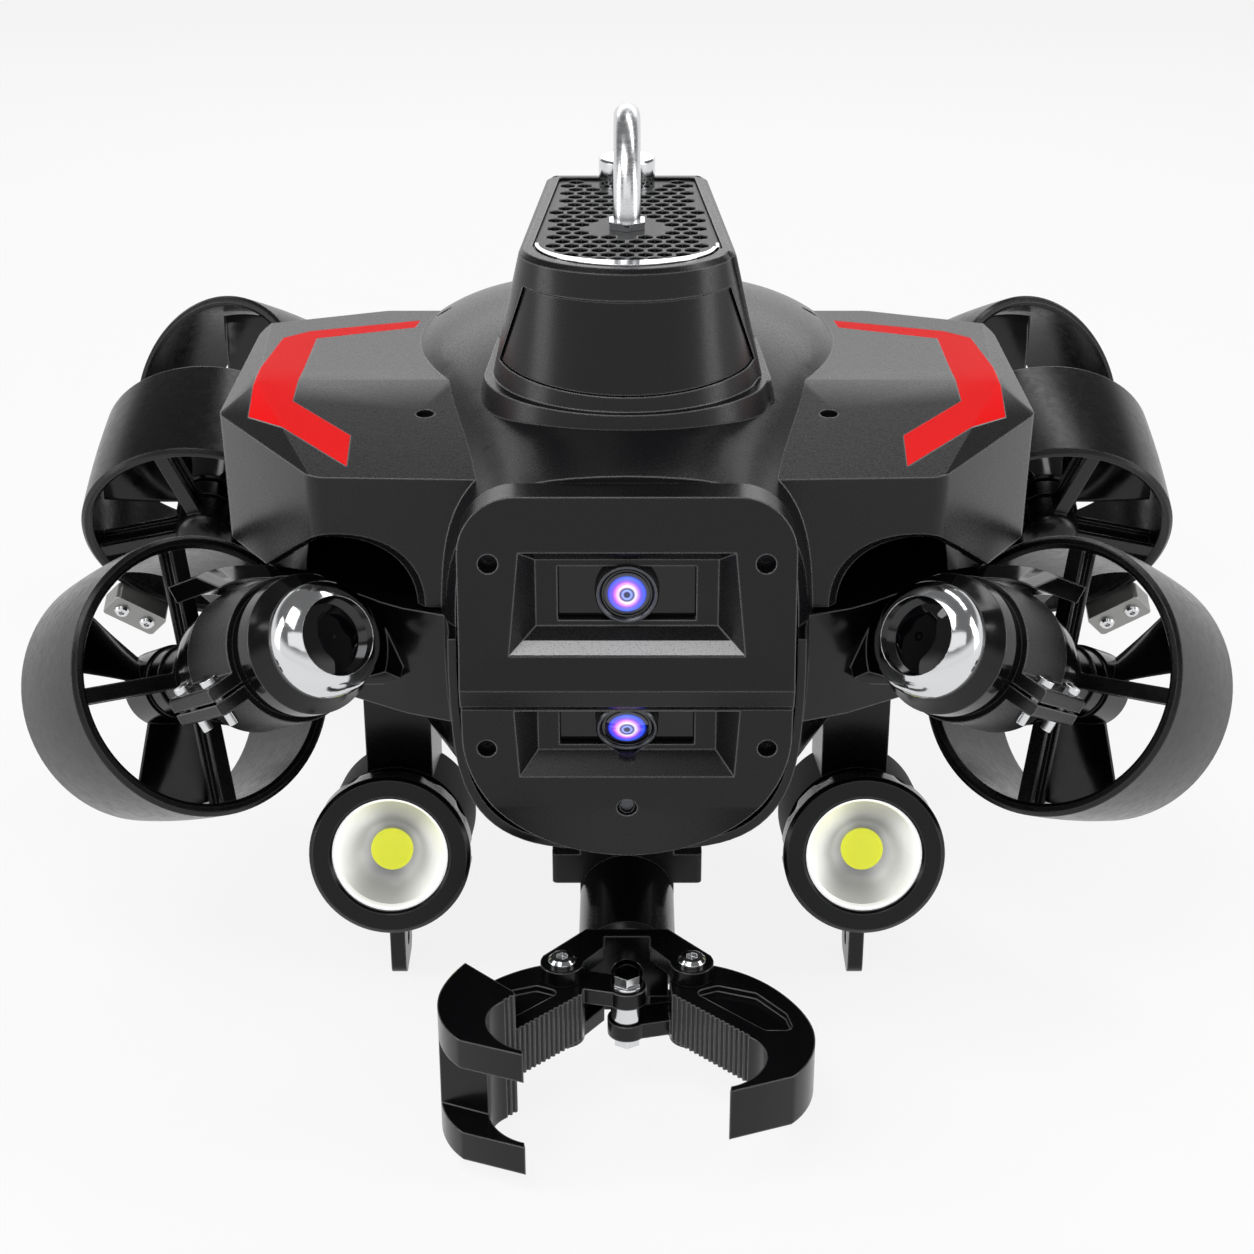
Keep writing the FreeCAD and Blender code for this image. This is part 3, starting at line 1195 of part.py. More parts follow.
def push_rod():
    """Round push rod with a flat tongue at its front and the eye for the link pin."""
    y = link_pin_y()
    half = TONGUE_SIZE / 2
    shaft = rod(ROD_RADIUS, vec(0, y + TONGUE_LENGTH, GRIP_Z), vec(0, ROD_REAR, GRIP_Z))
    tongue = Part.makeBox(TONGUE_SIZE, TONGUE_LENGTH, TONGUE_SIZE, vec(-half, y, GRIP_Z - half))
    eye = Part.makeCylinder(LINK_PIN_RADIUS + 3.4, TONGUE_SIZE, vec(0, y, GRIP_Z - half))
    hole = Part.makeCylinder(LINK_PIN_RADIUS, TONGUE_SIZE + 2, vec(0, y, GRIP_Z - half - 1))
    return shaft.fuse([tongue, eye]).cut(hole)


def link_pin():
    """Bolt through the rod's eye and the jaws' slotted tails, with head and nut."""
    y = link_pin_y()
    low = GRIP_Z - JAW_HALF_HEIGHT - MOVING_GAP
    high = GRIP_Z + JAW_HALF_HEIGHT + MOVING_GAP
    bolt = Part.makeCylinder(LINK_PIN_RADIUS, high - low + 10, vec(0, y, low - 5))
    washer = Part.makeCylinder(6.0, 1.2, vec(0, y, high))
    head = prism(hexagon(0, y, high + 1.2, 9.0), vec(0, 0, 4.0))
    nut = prism(hexagon(0, y, low - 4.2, 9.0), vec(0, 0, 4.2))
    return bolt.fuse([washer, head, nut])


def jaw_plan():
    """Outline of the right jaw in plan, hinge side first and round by the outside."""
    outer = [vec(31.0, -272.5, 0), vec(49.0, -283.0, 0), vec(60.5, -298.0, 0), vec(66.0, -314.0, 0),
             vec(64.5, -329.0, 0), vec(57.0, -341.5, 0)]
    tip = vec(35.0, -350.0, 0)
    inner_tip = vec(35.5, -347.0, 0)
    hook = [inner_tip, vec(44.5, -340.5, 0), vec(48.5, -330.0, 0), vec(43.0, -318.0, 0)]
    rib_end = vec(16.2, -292.0, 0)
    heel = vec(15.5, -283.0, 0)
    back = Part.BSplineCurve()
    back.interpolate(outer)
    inside = Part.BSplineCurve()
    inside.interpolate(hook)
    edges = [back.toShape(), Part.makeLine(outer[-1], tip), Part.makeLine(tip, inner_tip), inside.toShape(),
             Part.makeLine(hook[-1], rib_end), Part.makeLine(rib_end, heel), Part.makeLine(heel, outer[0])]
    return Part.Wire(edges), hook[-1], rib_end


def jaw_slab(low, high):
    outline = jaw_plan()[0]
    slab = Part.Face(outline).extrude(vec(0, 0, high - low))
    slab.translate(vec(0, 0, low))
    return slab


def rib_grooves(low, high):
    """Grooves down the gripping face, evenly spaced between its ends."""
    _, start, end = jaw_plan()
    grooves = []
    for index in range(RIB_COUNT):
        share = (index + 0.5) / RIB_COUNT
        point = start.add(end.sub(start).multiply(share))
        grooves.append(Part.makeCylinder(RIB_RADIUS, high - low, vec(point.x, point.y, low)))
    return grooves


def jaw_pocket(top):
    """Shallow recess in the jaw's top face."""
    plan = [vec(33, -286, top), vec(47, -291, top), vec(57, -304, top), vec(59, -314, top),
            vec(49, -314, top), vec(24, -290, top)]
    pocket = prism(plan, vec(0, 0, POCKET_DEPTH + 1))
    pocket = pocket.makeFillet(2.5, upright_edges(pocket, POCKET_DEPTH))
    pocket.translate(vec(0, 0, -POCKET_DEPTH))
    return pocket


def jaw_tail(low, high):
    """Slotted tail from the right hinge to the link pin, at its rest angle."""
    pin = vec(0, link_pin_y(), low)
    hinge = vec(HINGE_X, HINGE_Y, low)
    run = pin.sub(hinge)
    across = vec(-run.y, run.x, 0).normalize().multiply(TAIL_EYE_RADIUS - 1.2)
    bar = prism([hinge.add(across), pin.add(across), pin.sub(across), hinge.sub(across)], vec(0, 0, high - low))
    eye = Part.makeCylinder(TAIL_EYE_RADIUS, high - low, pin)
    along = vec(run.x, run.y, 0).normalize()
    slot_half = LINK_PIN_RADIUS + SLOT_CLEARANCE
    side = vec(-along.y, along.x, 0).multiply(slot_half)
    reach = 1.6
    inner = pin.sub(vec(along.x, along.y, 0).multiply(reach))
    outer = pin.add(vec(along.x, along.y, 0).multiply(reach))
    slot = prism([inner.add(side), outer.add(side), outer.sub(side), inner.sub(side)], vec(0, 0, high - low))
    slot = slot.fuse([Part.makeCylinder(slot_half, high - low, inner), Part.makeCylinder(slot_half, high - low, outer)])
    return bar.fuse(eye), slot


def hinge_bore():
    return rod(HINGE_PIN_RADIUS + RUNNING_CLEARANCE, vec(HINGE_X, HINGE_Y, 0), vec(HINGE_X, HINGE_Y, 70))


def link_room():
    """Space round the hinge line that the other jaw's tail and the rod swing through."""
    low = GRIP_Z - JAW_HALF_HEIGHT - 1
    return Part.makeBox(2 * (HINGE_X - HINGE_BOSS_RADIUS) - 1.5, 40, 2 * JAW_HALF_HEIGHT + 2,
                        vec(-(HINGE_X - HINGE_BOSS_RADIUS) + 0.75, HINGE_Y - 10, low))


def right_jaw():
    """Single-tine jaw with its tail under the rod's tongue."""
    low = GRIP_Z - JAW_HALF_HEIGHT
    high = GRIP_Z + JAW_HALF_HEIGHT
    blade = jaw_slab(low, high)
    boss = Part.makeCylinder(HINGE_BOSS_RADIUS, high - low, vec(HINGE_X, HINGE_Y, low))
    body = blade.fuse(boss).cut(link_room())
    tail, slot = jaw_tail(low, GRIP_Z - TONGUE_SIZE / 2 - MOVING_GAP)
    body = body.fuse(tail).cut([slot, hinge_bore(), jaw_pocket(high)])
    return body.cut(rib_grooves(low, high))


def left_jaw():
    """Forked jaw: the same blade with two outer tines, its tail over the tongue."""
    low = GRIP_Z - JAW_HALF_HEIGHT
    high = GRIP_Z + JAW_HALF_HEIGHT
    blade = jaw_slab(low, high)
    boss = Part.makeCylinder(HINGE_BOSS_RADIUS, high - low, vec(HINGE_X, HINGE_Y, low))
    tall = jaw_slab(GRIP_Z - FORK_HALF_HEIGHT, GRIP_Z + FORK_HALF_HEIGHT)
    head_plan = [vec(40, -372, 0), vec(24, -345, 0), vec(40, -312, 0), vec(62, -290, 0), vec(90, -300, 0),
                 vec(90, -372, 0)]
    head = tall.common(prism(head_plan, vec(0, 0, 80)))
    gap = prism([vec(20, -360, GRIP_Z - FORK_GAP_HALF), vec(20, -328, GRIP_Z - FORK_GAP_HALF),
                 vec(44, -333, GRIP_Z - FORK_GAP_HALF), vec(80, -318, GRIP_Z - FORK_GAP_HALF),
                 vec(80, -360, GRIP_Z - FORK_GAP_HALF)], vec(0, 0, 2 * FORK_GAP_HALF))
    body = blade.fuse(boss).cut(link_room())
    tail, slot = jaw_tail(GRIP_Z + TONGUE_SIZE / 2 + MOVING_GAP, high)
    body = body.fuse([tail, head]).cut([gap, slot, hinge_bore(), jaw_pocket(high)])
    body = body.cut(rib_grooves(GRIP_Z - FORK_HALF_HEIGHT, GRIP_Z + FORK_HALF_HEIGHT))
    return mirrored(body)


def electronics_canister():
    x, y, z = CANISTER_CENTRE
    tube = canister_solid()
    ends = [edge for edge in tube.Edges if edge.BoundBox.YLength < 0.1]
    return tube.makeChamfer(2.0, ends)


def battery(side):
    """Battery tube with a wider, gripped screw cap behind the stern."""
    x = side * BATTERY_X
    cap = rod(BATTERY_CAP_RADIUS, vec(x, STERN_Y, BATTERY_Z), vec(x, OVERALL_REAR_Y, BATTERY_Z))
    back = [edge for edge in cap.Edges if edge.BoundBox.YMin > OVERALL_REAR_Y - 0.1]
    cap = cap.makeChamfer(BATTERY_CAP_CHAMFER, back)
    grips = []
    for index in range(CAP_GRIPS):
        around = polar(BATTERY_CAP_RADIUS + CAP_GRIP_RADIUS / 2, index * 360 / CAP_GRIPS)
        start = vec(x + around.x, OVERALL_REAR_Y - CAP_GRIP_LENGTH, BATTERY_Z + around.y)
        grips.append(rod(CAP_GRIP_RADIUS, start, start.add(vec(0, 2 * CAP_GRIP_LENGTH, 0))))
    return battery_barrel(side).fuse(cap.cut(grips))


def trim_block():
    """Ballast trim block on the lower outer rim of the left middle duct."""
    width, length, height = TRIM_BLOCK
    block = Part.makeBox(width, length, height, vec(DUCT_RADIUS - DUCT_WALL + DUCT_LIP, -length / 2, 0))
    block = block.makeFillet(2.0, upright_edges(block, height - 1))
    block.rotate(vec(0, 0, 0), vec(0, 0, 1), TRIM_ANGLE)
    origin, direction = THRUSTER_SEATS["middle"]
    return placed(block, origin, direction)


def trim_screws():
    width, length, height = TRIM_BLOCK
    reach = DUCT_RADIUS - DUCT_WALL + DUCT_LIP + width / 2
    origin, direction = THRUSTER_SEATS["middle"]
    screws = []
    for offset in (-length / 4, length / 4):
        screw = button_screw(3.4, 4.0)
        screw.translate(vec(reach, offset, height))
        screw.rotate(vec(0, 0, 0), vec(0, 0, 1), TRIM_ANGLE)
        screws.append(placed(screw, origin, direction))
    return screws


def tether_connector(body):
    """Bulkhead socket on the tail deck that leans back, with a blind plug bore."""
    z = HULL_SECTIONS[7][3] - 2
    direction = (0.0, 0.72, 0.69)
    flange = Part.makeCylinder(CONNECTOR_RADIUS + 4, 16, vec(0, 0, -12))
    barrel = Part.makeCylinder(CONNECTOR_RADIUS, CONNECTOR_LENGTH, vec(0, 0, 0))
    barrel = barrel.makeChamfer(1.2, [edge for edge in barrel.Edges if edge.BoundBox.ZMin > CONNECTOR_LENGTH - 1])
    bore = Part.makeCylinder(CONNECTOR_BORE, 20, vec(0, 0, CONNECTOR_LENGTH - 18))
    socket = flange.fuse(barrel).cut(bore)
    socket = placed(socket, (0, CONNECTOR_Y, z + 6), direction)
    return socket.cut(body)


def export(name, shape):
    shape.exportStep("parts/" + name + ".step")


def main():
    body = hull_body()
    cavity = hull_form(HULL_WALL, NOSE_Y, STERN_Y - HULL_WALL)
    inlay = chevron_inlay().cut(body)
    inlays = [inlay, mirrored(inlay)]
    wings = [wing_form(0.0), mirrored(wing_form(0.0))]
    hull = body.fuse(wings + [shoulder(), mirrored(shoulder())])

    export("hull_upper_shell", upper_shell(body, cavity, inlays))
    export("hull_lower_shell", lower_shell(body, cavity))
    export("chevron_inlays", Part.makeCompound(inlays))
    export("tower_housing", tower_housing(body))
    export("tower_front_panel", tower_front_panel())
    export("honeycomb_grille", grille())
    export("grille_trim", grille_trim())
    export("tow_bail", tow_bail())
    export("bail_fixings", bail_fixings())
    export("nose_panel", nose_panel())
    export("shell_screws", shell_screws(body))
    windows = [camera_window(UPPER_RECESS, UPPER_CAMERA_Z, 0.0),
               camera_window(LOWER_RECESS, LOWER_CAMERA_Z, LOWER_CAMERA_TILT)]
    export("camera_windows", Part.makeCompound(windows))
    cameras = [camera_module(UPPER_CAMERA_Z, 0.0), camera_module(LOWER_CAMERA_Z, LOWER_CAMERA_TILT)]
    export("camera_modules", Part.makeCompound(cameras))
    export("depth_sensor", depth_sensor())
    export("electronics_canister", electronics_canister())
    export("battery_left", battery(-1))
    export("battery_right", battery(1))
    export("tether_connector", tether_connector(body))
    export("gripper_tube", gripper_tube())
    export("gripper_bracket", gripper_bracket(body))
    export("gripper_yoke", gripper_yoke())
    export("jaw_pins", jaw_pins())
    export("push_rod", push_rod())
    export("link_pin", link_pin())
    export("left_jaw", left_jaw())
    export("right_jaw", right_jaw())
    export("feet", feet(body))
    screws = trim_screws()
    block = trim_block().cut(screws)
    export("trim_blocks", Part.makeCompound([block, mirrored(block)]))
    export("trim_screws", Part.makeCompound(screws + [mirrored(screw) for screw in screws]))

    for row in THRUSTER_SEATS:
        duct, can, rotor = thruster(row, hull)
        export("duct_" + row + "_left", duct)
        export("duct_" + row + "_right", mirrored(duct))
        export("motors_" + row, Part.makeCompound([can, mirrored(can)]))
        export("propeller_" + row + "_left", rotor)
        export("propeller_" + row + "_right", mirrored(rotor))

    origin, direction = THRUSTER_SEATS["front"]
    pod = placed(pod_body(), origin, direction)
    export("pod_body_left", pod)
    export("pod_body_right", mirrored(pod))
    clamp = placed(pod_clamp(), origin, direction)
    export("pod_clamp_left", clamp)
    export("pod_clamp_right", mirrored(clamp))
    for name, shape in (("pod_bezels", pod_bezel()), ("pod_lenses", pod_lens())):
        left = placed(shape, origin, direction)
        export(name, Part.makeCompound([left, mirrored(left)]))
    screws = [placed(screw, origin, direction) for screw in clamp_screws()]
    export("pod_clamp_screws", Part.makeCompound(screws + [mirrored(screw) for screw in screws]))

    lamp = placed(lamp_body(), LAMP_CENTRE, lamp_direction())
    export("lamp_body_left", lamp)
    export("lamp_body_right", mirrored(lamp))
    shapes = {"lamp_bezels": lamp_bezel(), "lamp_reflectors": lamp_reflector(), "lamp_leds": lamp_led(),
              "lamp_glasses": lamp_glass()}
    for name, shape in shapes.items():
        left = placed(shape, LAMP_CENTRE, lamp_direction())
        export(name, Part.makeCompound([left, mirrored(left)]))
    saddle = lamp_saddle(hull)
    export("lamp_saddles", Part.makeCompound([saddle, mirrored(saddle)]))


main()
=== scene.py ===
"""Studio scene of an underwater inspection vehicle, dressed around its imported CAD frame."""

import json
import math

import bpy
import numpy as np
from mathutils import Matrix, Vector


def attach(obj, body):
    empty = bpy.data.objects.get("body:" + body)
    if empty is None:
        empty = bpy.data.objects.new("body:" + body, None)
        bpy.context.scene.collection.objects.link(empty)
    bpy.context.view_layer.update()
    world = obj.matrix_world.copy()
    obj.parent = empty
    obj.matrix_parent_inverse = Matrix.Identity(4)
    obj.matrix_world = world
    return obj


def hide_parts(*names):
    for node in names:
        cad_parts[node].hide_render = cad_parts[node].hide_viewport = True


bl_info = {
    "name": "Inspection Vehicle Studio",
    "version": (1, 0, 0),
    "blender": (4, 5, 0),
    "location": "View3D > Sidebar > Vehicle",
    "description": "Finishes, optics and studio for a ducted underwater inspection vehicle",
    "category": "Object",
}

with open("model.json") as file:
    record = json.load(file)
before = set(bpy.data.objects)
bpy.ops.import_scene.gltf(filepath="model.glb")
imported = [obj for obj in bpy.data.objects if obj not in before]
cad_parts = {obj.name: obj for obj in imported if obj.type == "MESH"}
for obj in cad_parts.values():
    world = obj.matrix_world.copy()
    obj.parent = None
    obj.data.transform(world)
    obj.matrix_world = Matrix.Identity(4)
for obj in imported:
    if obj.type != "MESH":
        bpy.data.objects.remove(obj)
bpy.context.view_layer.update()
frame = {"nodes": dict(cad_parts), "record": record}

MM = 0.001

# Photograph's frame and viewpoint.
IMAGE_SIZE = 1254
FOCAL_PIXELS = 2300
SENSOR_MM = 36.0
CAMERA_PLACE = Vector((0.0, -0.991, 0.516))
CAMERA_ELEVATION = math.radians(25.0)

# Share of the roughness that is left on rubbed edges.
EDGE_POLISH = 0.6

# How far a moulding's roughness drifts either way, and the least that it falls to.
ROUGHNESS_DRIFT, SMOOTHEST = 0.05, 0.02

# Agreement of the rounded normal with the true one on a flat and on a full edge.
FLAT_DOT, EDGE_DOT = 0.995, 0.90

# Values between which a noise texture mostly stays.
NOISE_LOW, NOISE_HIGH = 0.3, 0.7

# Studio: light of the room by the height of a direction, and how far the floor shows as plain white.
HORIZON_EDGE, HORIZON_LIGHT = 0.12, 0.95
OVERHEAD_EDGE, OVERHEAD_LIGHT = 0.40, 0.18
PAPER_WHITE = 0.86

# Soft lights: name, place and aim in metres, width and height in metres, and power in watts.
STUDIO_LIGHTS = (
    ("key_softbox", (-0.55, -0.75, 1.55), (0, -0.05, 0.15), (1.1, 0.7), 9.0),
    ("front_card", (0.0, -1.95, 1.30), (0, -0.2, 0.15), (2.6, 0.8), 6.0),
    ("top_strip", (0.45, 0.35, 1.35), (0, -0.1, 0.2), (1.4, 0.25), 5.0),
    ("left_card", (-1.25, -0.45, 0.55), (-0.1, -0.15, 0.12), (0.45, 1.0), 5.0),
    ("right_card", (1.25, -0.45, 0.55), (0.1, -0.15, 0.12), (0.45, 1.0), 5.0),
    ("rear_card", (0.0, 1.5, 0.9), (0, 0.1, 0.15), (1.8, 0.5), 5.0),
)

# Places of the optics, in millimetres, on the left side as seen from the nose.
LAMP_ORIGIN = np.array((-92.0, -221.0, 59.0))
LAMP_TILT = math.radians(15.0)
CAMERA_FACE_Y = -281.5
UPPER_CAMERA_Z = 197.5
LOWER_CAMERA_Z = 146.5
LOWER_CAMERA_TILT = math.radians(18.0)

# Sill of the upper recess: half-width, Y and Z of its back and front edges, in millimetres.
SILL_BACK = (35.4, -286.1, 181.95)
SILL_FRONT = (39.7, -290.8, 178.7)
SILL_LIFT = 0.25

# Camera optics as (radius, height) along the lens axis from the window, in millimetres.
CAMERA_BEZEL = ((9.5, -4.0), (10.4, -4.0), (10.8, -3.6), (10.8, 0.2), (10.3, 0.9), (9.6, 0.9), (9.1, 0.3),
                (9.1, -1.0))
CAMERA_BAFFLE = ((9.1, -1.0), (8.7, -1.1), (8.6, -0.3), (8.1, -0.3), (8.0, -0.9), (7.5, -0.9), (7.4, -0.2))
LENS_RADIUS = 7.6
LENS_RISE = 1.2
LENS_SEAT = -0.3

# Lamp optics, with heights along the lamp's axis from its face, in millimetres.
CUP_RADIUS = 22.5
CUP_BACK = -13.9
CUP_RIM = ((CUP_RADIUS, CUP_BACK), (CUP_RADIUS, -2.6), (21.6, -2.4))
FLANK_RADIUS = 22.4
FLANK_TOP = -3.0
FLANK_DEPTH = 8.6
FLANK_RUN = 12.4
FLANK_CURVE = 1.6
CUP_FLOOR = FLANK_TOP - FLANK_DEPTH
SOURCE_RADIUS = 8.2
SOURCE_EDGE = -9.8
SOURCE_RISE = 1.4
AXIS_RADIUS = 0.02

# Share of the cup's radius where its painted bright rim highlight starts, and the distance between its
# turning rings.
RIM_SHARE = 0.92
TURNING_MM = 0.8

# Half-width of the floor sheet and its drop below the feet, in metres.
FLOOR_REACH = 6
FLOOR_DROP = 0.0005

# Edges of the added pieces that bend more than this stay sharp.
PIECE_ANGLE = math.radians(35)


def linear(hex_colour, alpha=1.0):
    """Linear RGBA of an sRGB hex colour such as #1A2B3C."""
    channels = [int(hex_colour[i:i + 2], 16) / 255 for i in (1, 3, 5)]
    return [c / 12.92 if c <= 0.04045 else ((c + 0.055) / 1.055) ** 2.4 for c in channels] + [alpha]


class VehicleSettings(bpy.types.PropertyGroup):
    """Sizes and colours that a user of the scene would change."""

    shell_colour: bpy.props.FloatVectorProperty(
        name="Shell", description="Satin paint of the upper shell and tower", subtype="COLOR", size=4,
        min=0.0, max=1.0, default=linear("#151517"))
    gloss_colour: bpy.props.FloatVectorProperty(
        name="Gloss", description="Gloss moulding of the lower shell and the pods", subtype="COLOR", size=4,
        min=0.0, max=1.0, default=linear("#09090B"))
    inlay_colour: bpy.props.FloatVectorProperty(
        name="Inlays", description="Red inlays on the shoulder wings", subtype="COLOR", size=4,
        min=0.0, max=1.0, default=linear("#F01214"))
    led_colour: bpy.props.FloatVectorProperty(
        name="Light source", description="Phosphor of the lamps", subtype="COLOR", size=4,
        min=0.0, max=1.0, default=linear("#E4EA00"))
    edge_radius: bpy.props.FloatProperty(
        name="Edge radius", description="How far edges of the mouldings are rounded in the shading",
        default=0.9 * MM, min=0.0, max=5 * MM, unit="LENGTH")
    smooth_angle: bpy.props.FloatProperty(
        name="Smooth angle", description="Edges flatter than this are shaded smooth",
        default=math.radians(28), min=0.0, max=math.pi, subtype="ANGLE", unit="ROTATION")


# Node helpers.


def add(tree, kind, inputs=None, **settings):
    """Adds a node with its settings; an input is a value or another node's output."""
    made = tree.nodes.new(kind)
    for key, value in settings.items():
        setattr(made, key, value)
    for key, value in (inputs or {}).items():
        if isinstance(value, bpy.types.NodeSocket):
            tree.links.new(value, made.inputs[key])
        else:
            made.inputs[key].default_value = value
    return made


def new_material(name):
    """Empty node material with its output; returns the material, tree and output."""
    material = bpy.data.materials.new(name)
    material.use_nodes = True
    material.node_tree.nodes.clear()
    output = add(material.node_tree, "ShaderNodeOutputMaterial")
    return material, material.node_tree, output


def object_point(tree):
    """Place on the surface in the piece's own metres."""
    return add(tree, "ShaderNodeTexCoord").outputs["Object"]


def per_metre(size_mm):
    """Texture scale whose features are about size_mm apart."""
    return 1000.0 / size_mm


def noise_between(tree, noise, low, high):
    """Noise texture mapped from its usual values to low and high."""
    return add(tree, "ShaderNodeMapRange",
               {"Value": noise.outputs["Fac"], "From Min": NOISE_LOW, "From Max": NOISE_HIGH,
                "To Min": low, "To Max": high}).outputs[0]


def edge_mask(tree, radius):
    """Rounded normal and a mask that is 1 on convex edges and 0 on flats."""
    rounded = add(tree, "ShaderNodeBevel", {"Radius": radius}, samples=6)
    geometry = add(tree, "ShaderNodeNewGeometry")
    dot = add(tree, "ShaderNodeVectorMath", {0: rounded.outputs[0], 1: geometry.outputs["Normal"]},
              operation="DOT_PRODUCT")
    mask = add(tree, "ShaderNodeMapRange",
               {"Value": dot.outputs["Value"], "From Min": FLAT_DOT, "From Max": EDGE_DOT,
                "To Min": 0.0, "To Max": 1.0})
    return rounded.outputs[0], mask.outputs[0]


def moulded(name, colour, roughness, grain_mm, grain_depth_mm, wear_and_highlight, metallic=0.0, specular=0.5, cloud=0.25,
            edge=None):
    """Painted or moulded surface: fine grain, slow colour drift, and edges painted lighter, partly as
    rubbing and partly as a painted highlight.
    """
    settings = bpy.context.scene.vehicle
    material, tree, output = new_material(name)
    point = object_point(tree)
    normal, edges = edge_mask(tree, settings.edge_radius if edge is None else edge)
    grain = add(tree, "ShaderNodeTexNoise",
                {"Vector": point, "Scale": per_metre(grain_mm), "Detail": 3.0, "Roughness": 0.6})
    drift = add(tree, "ShaderNodeTexNoise", {"Vector": point, "Scale": per_metre(60.0), "Detail": 4.0})
    darker = [c * (1 - cloud) for c in colour[:3]] + [1.0]
    tone = add(tree, "ShaderNodeMix", {"Factor": drift.outputs["Fac"], 6: darker, 7: list(colour)},
               data_type="RGBA")
    # Convex edges are painted lighter: partly rubbing, partly a painted highlight along the creases.
    worn_and_highlit = [min(c + wear_and_highlight, 1.0) for c in colour[:3]] + [1.0]
    base = add(tree, "ShaderNodeMix", {"Factor": edges, 6: tone.outputs[2], 7: worn_and_highlit}, data_type="RGBA")
    rough = noise_between(tree, grain, max(roughness - ROUGHNESS_DRIFT, SMOOTHEST),
                          roughness + ROUGHNESS_DRIFT)
    polish = add(tree, "ShaderNodeMapRange",
                 {"Value": edges, "To Min": 1.0, "To Max": EDGE_POLISH})
    shine = add(tree, "ShaderNodeMath", {0: rough, 1: polish.outputs[0]}, operation="MULTIPLY")
    bump = add(tree, "ShaderNodeBump",
               {"Height": grain.outputs["Fac"], "Distance": grain_depth_mm * MM, "Strength": 0.5,
                "Normal": normal})
    shader = add(tree, "ShaderNodeBsdfPrincipled",
                 {"Base Color": base.outputs[2], "Roughness": shine.outputs[0], "Metallic": metallic,
                  "Specular IOR Level": specular, "Normal": bump.outputs[0]})
    tree.links.new(shader.outputs[0], output.inputs[0])
    return material


def satin_shell():
    """Two-pack satin paint over moulded ABS: soft reflections and a faint orange peel."""
    settings = bpy.context.scene.vehicle
    return moulded("satin_paint_abs", settings.shell_colour, roughness=0.28, grain_mm=0.9,
                   grain_depth_mm=0.003, wear_and_highlight=0.17, specular=0.30, cloud=0.08)


def gloss_shell():
    """Gloss black ABS as it leaves a polished mould: deep colour and sharp reflections."""
    settings = bpy.context.scene.vehicle
    return moulded("gloss_abs", settings.gloss_colour, roughness=0.15, grain_mm=5.0, grain_depth_mm=0.004,
                   wear_and_highlight=0.13, specular=0.36)


def duct_moulding():
    """Glass-filled nylon with a semi-gloss skin: the barrel shades softly round its curve."""
    return moulded("glass_filled_nylon", linear("#0E0E10"), roughness=0.27, grain_mm=4.0,
                   grain_depth_mm=0.002, wear_and_highlight=0.04, specular=0.34)


def propeller_moulding():
    """Polished polycarbonate blades, with faint flow marks."""
    return moulded("polycarbonate_black", linear("#0B0B0D"), roughness=0.14, grain_mm=8.0,
                   grain_depth_mm=0.01, wear_and_highlight=0.03, specular=0.36)


def panel_moulding():
    """Fine spark-eroded polycarbonate of the nose and brackets: dull, with a close grain."""
    return moulded("spark_eroded_polycarbonate", linear("#0E0E10"), roughness=0.28, grain_mm=0.5,
                   grain_depth_mm=0.003, wear_and_highlight=0.17, specular=0.30)


def grille_paint():
    """Powder-coated stainless mesh, a little speckled."""
    return moulded("powder_coated_mesh", linear("#111214"), roughness=0.35, grain_mm=0.4,
                   grain_depth_mm=0.010, wear_and_highlight=0.16, metallic=0.3, specular=0.3)


def anodised_black():
    """Hard-anodised aluminium: near black, with a dry metallic sheen, and bare edges that are also painted
    lighter as a painted highlight.
    """
    return moulded("hard_anodised_aluminium", linear("#0C0D0F"), roughness=0.24, grain_mm=0.6,
                   grain_depth_mm=0.004, wear_and_highlight=0.08, metallic=0.3, specular=0.35)


def lamp_barrel():
    """Dull hard anodising of the lamp barrels, which stays black even at a slant."""
    return moulded("dull_hard_anodising", linear("#0B0B0D"), roughness=0.55, grain_mm=0.8,
                   grain_depth_mm=0.004, wear_and_highlight=0.05, specular=0.06)


def jaw_coat():
    """Black hard coat on forged aluminium jaws, rubbed along its edges, which are also painted lighter as a
    painted highlight.
    """
    return moulded("hard_coated_forging", linear("#0E0E10"), roughness=0.22, grain_mm=1.6,
                   grain_depth_mm=0.003, wear_and_highlight=0.14, metallic=0.1, specular=0.38)


def red_inlay():
    """Pad-printed red enamel under a clear satin lacquer."""
    settings = bpy.context.scene.vehicle
    return moulded("red_enamel", settings.inlay_colour, roughness=0.55, grain_mm=1.0,
                   grain_depth_mm=0.004, wear_and_highlight=0.0, specular=0.05, cloud=0.05)


def trim_metal():
    """Bead-blasted bare aluminium of the trim blocks."""
    return moulded("bead_blasted_aluminium", linear("#A2A2A0"), roughness=0.36, grain_mm=0.5,
                   grain_depth_mm=0.01, wear_and_highlight=0.10, metallic=0.9)


def screw_steel():
    """Blackened alloy steel of the recessed screws."""
    return moulded("blackened_steel", linear("#26262A"), roughness=0.35, grain_mm=0.5,
                   grain_depth_mm=0.01, wear_and_highlight=0.2, metallic=0.9, edge=0.15 * MM)


def camera_barrel():
    """Turned and dyed aluminium of the camera barrels and the pressure port."""
    return moulded("turned_aluminium", linear("#55565A"), roughness=0.28, grain_mm=0.5,
                   grain_depth_mm=0.006, wear_and_highlight=0.15, metallic=0.9, edge=0.2 * MM)


def window_smoke():
    """Smoked polycarbonate cover round the cameras."""
    return moulded("smoked_polycarbonate", linear("#050506"), roughness=0.06, grain_mm=6.0,
                   grain_depth_mm=0.002, wear_and_highlight=0.0, specular=0.4)


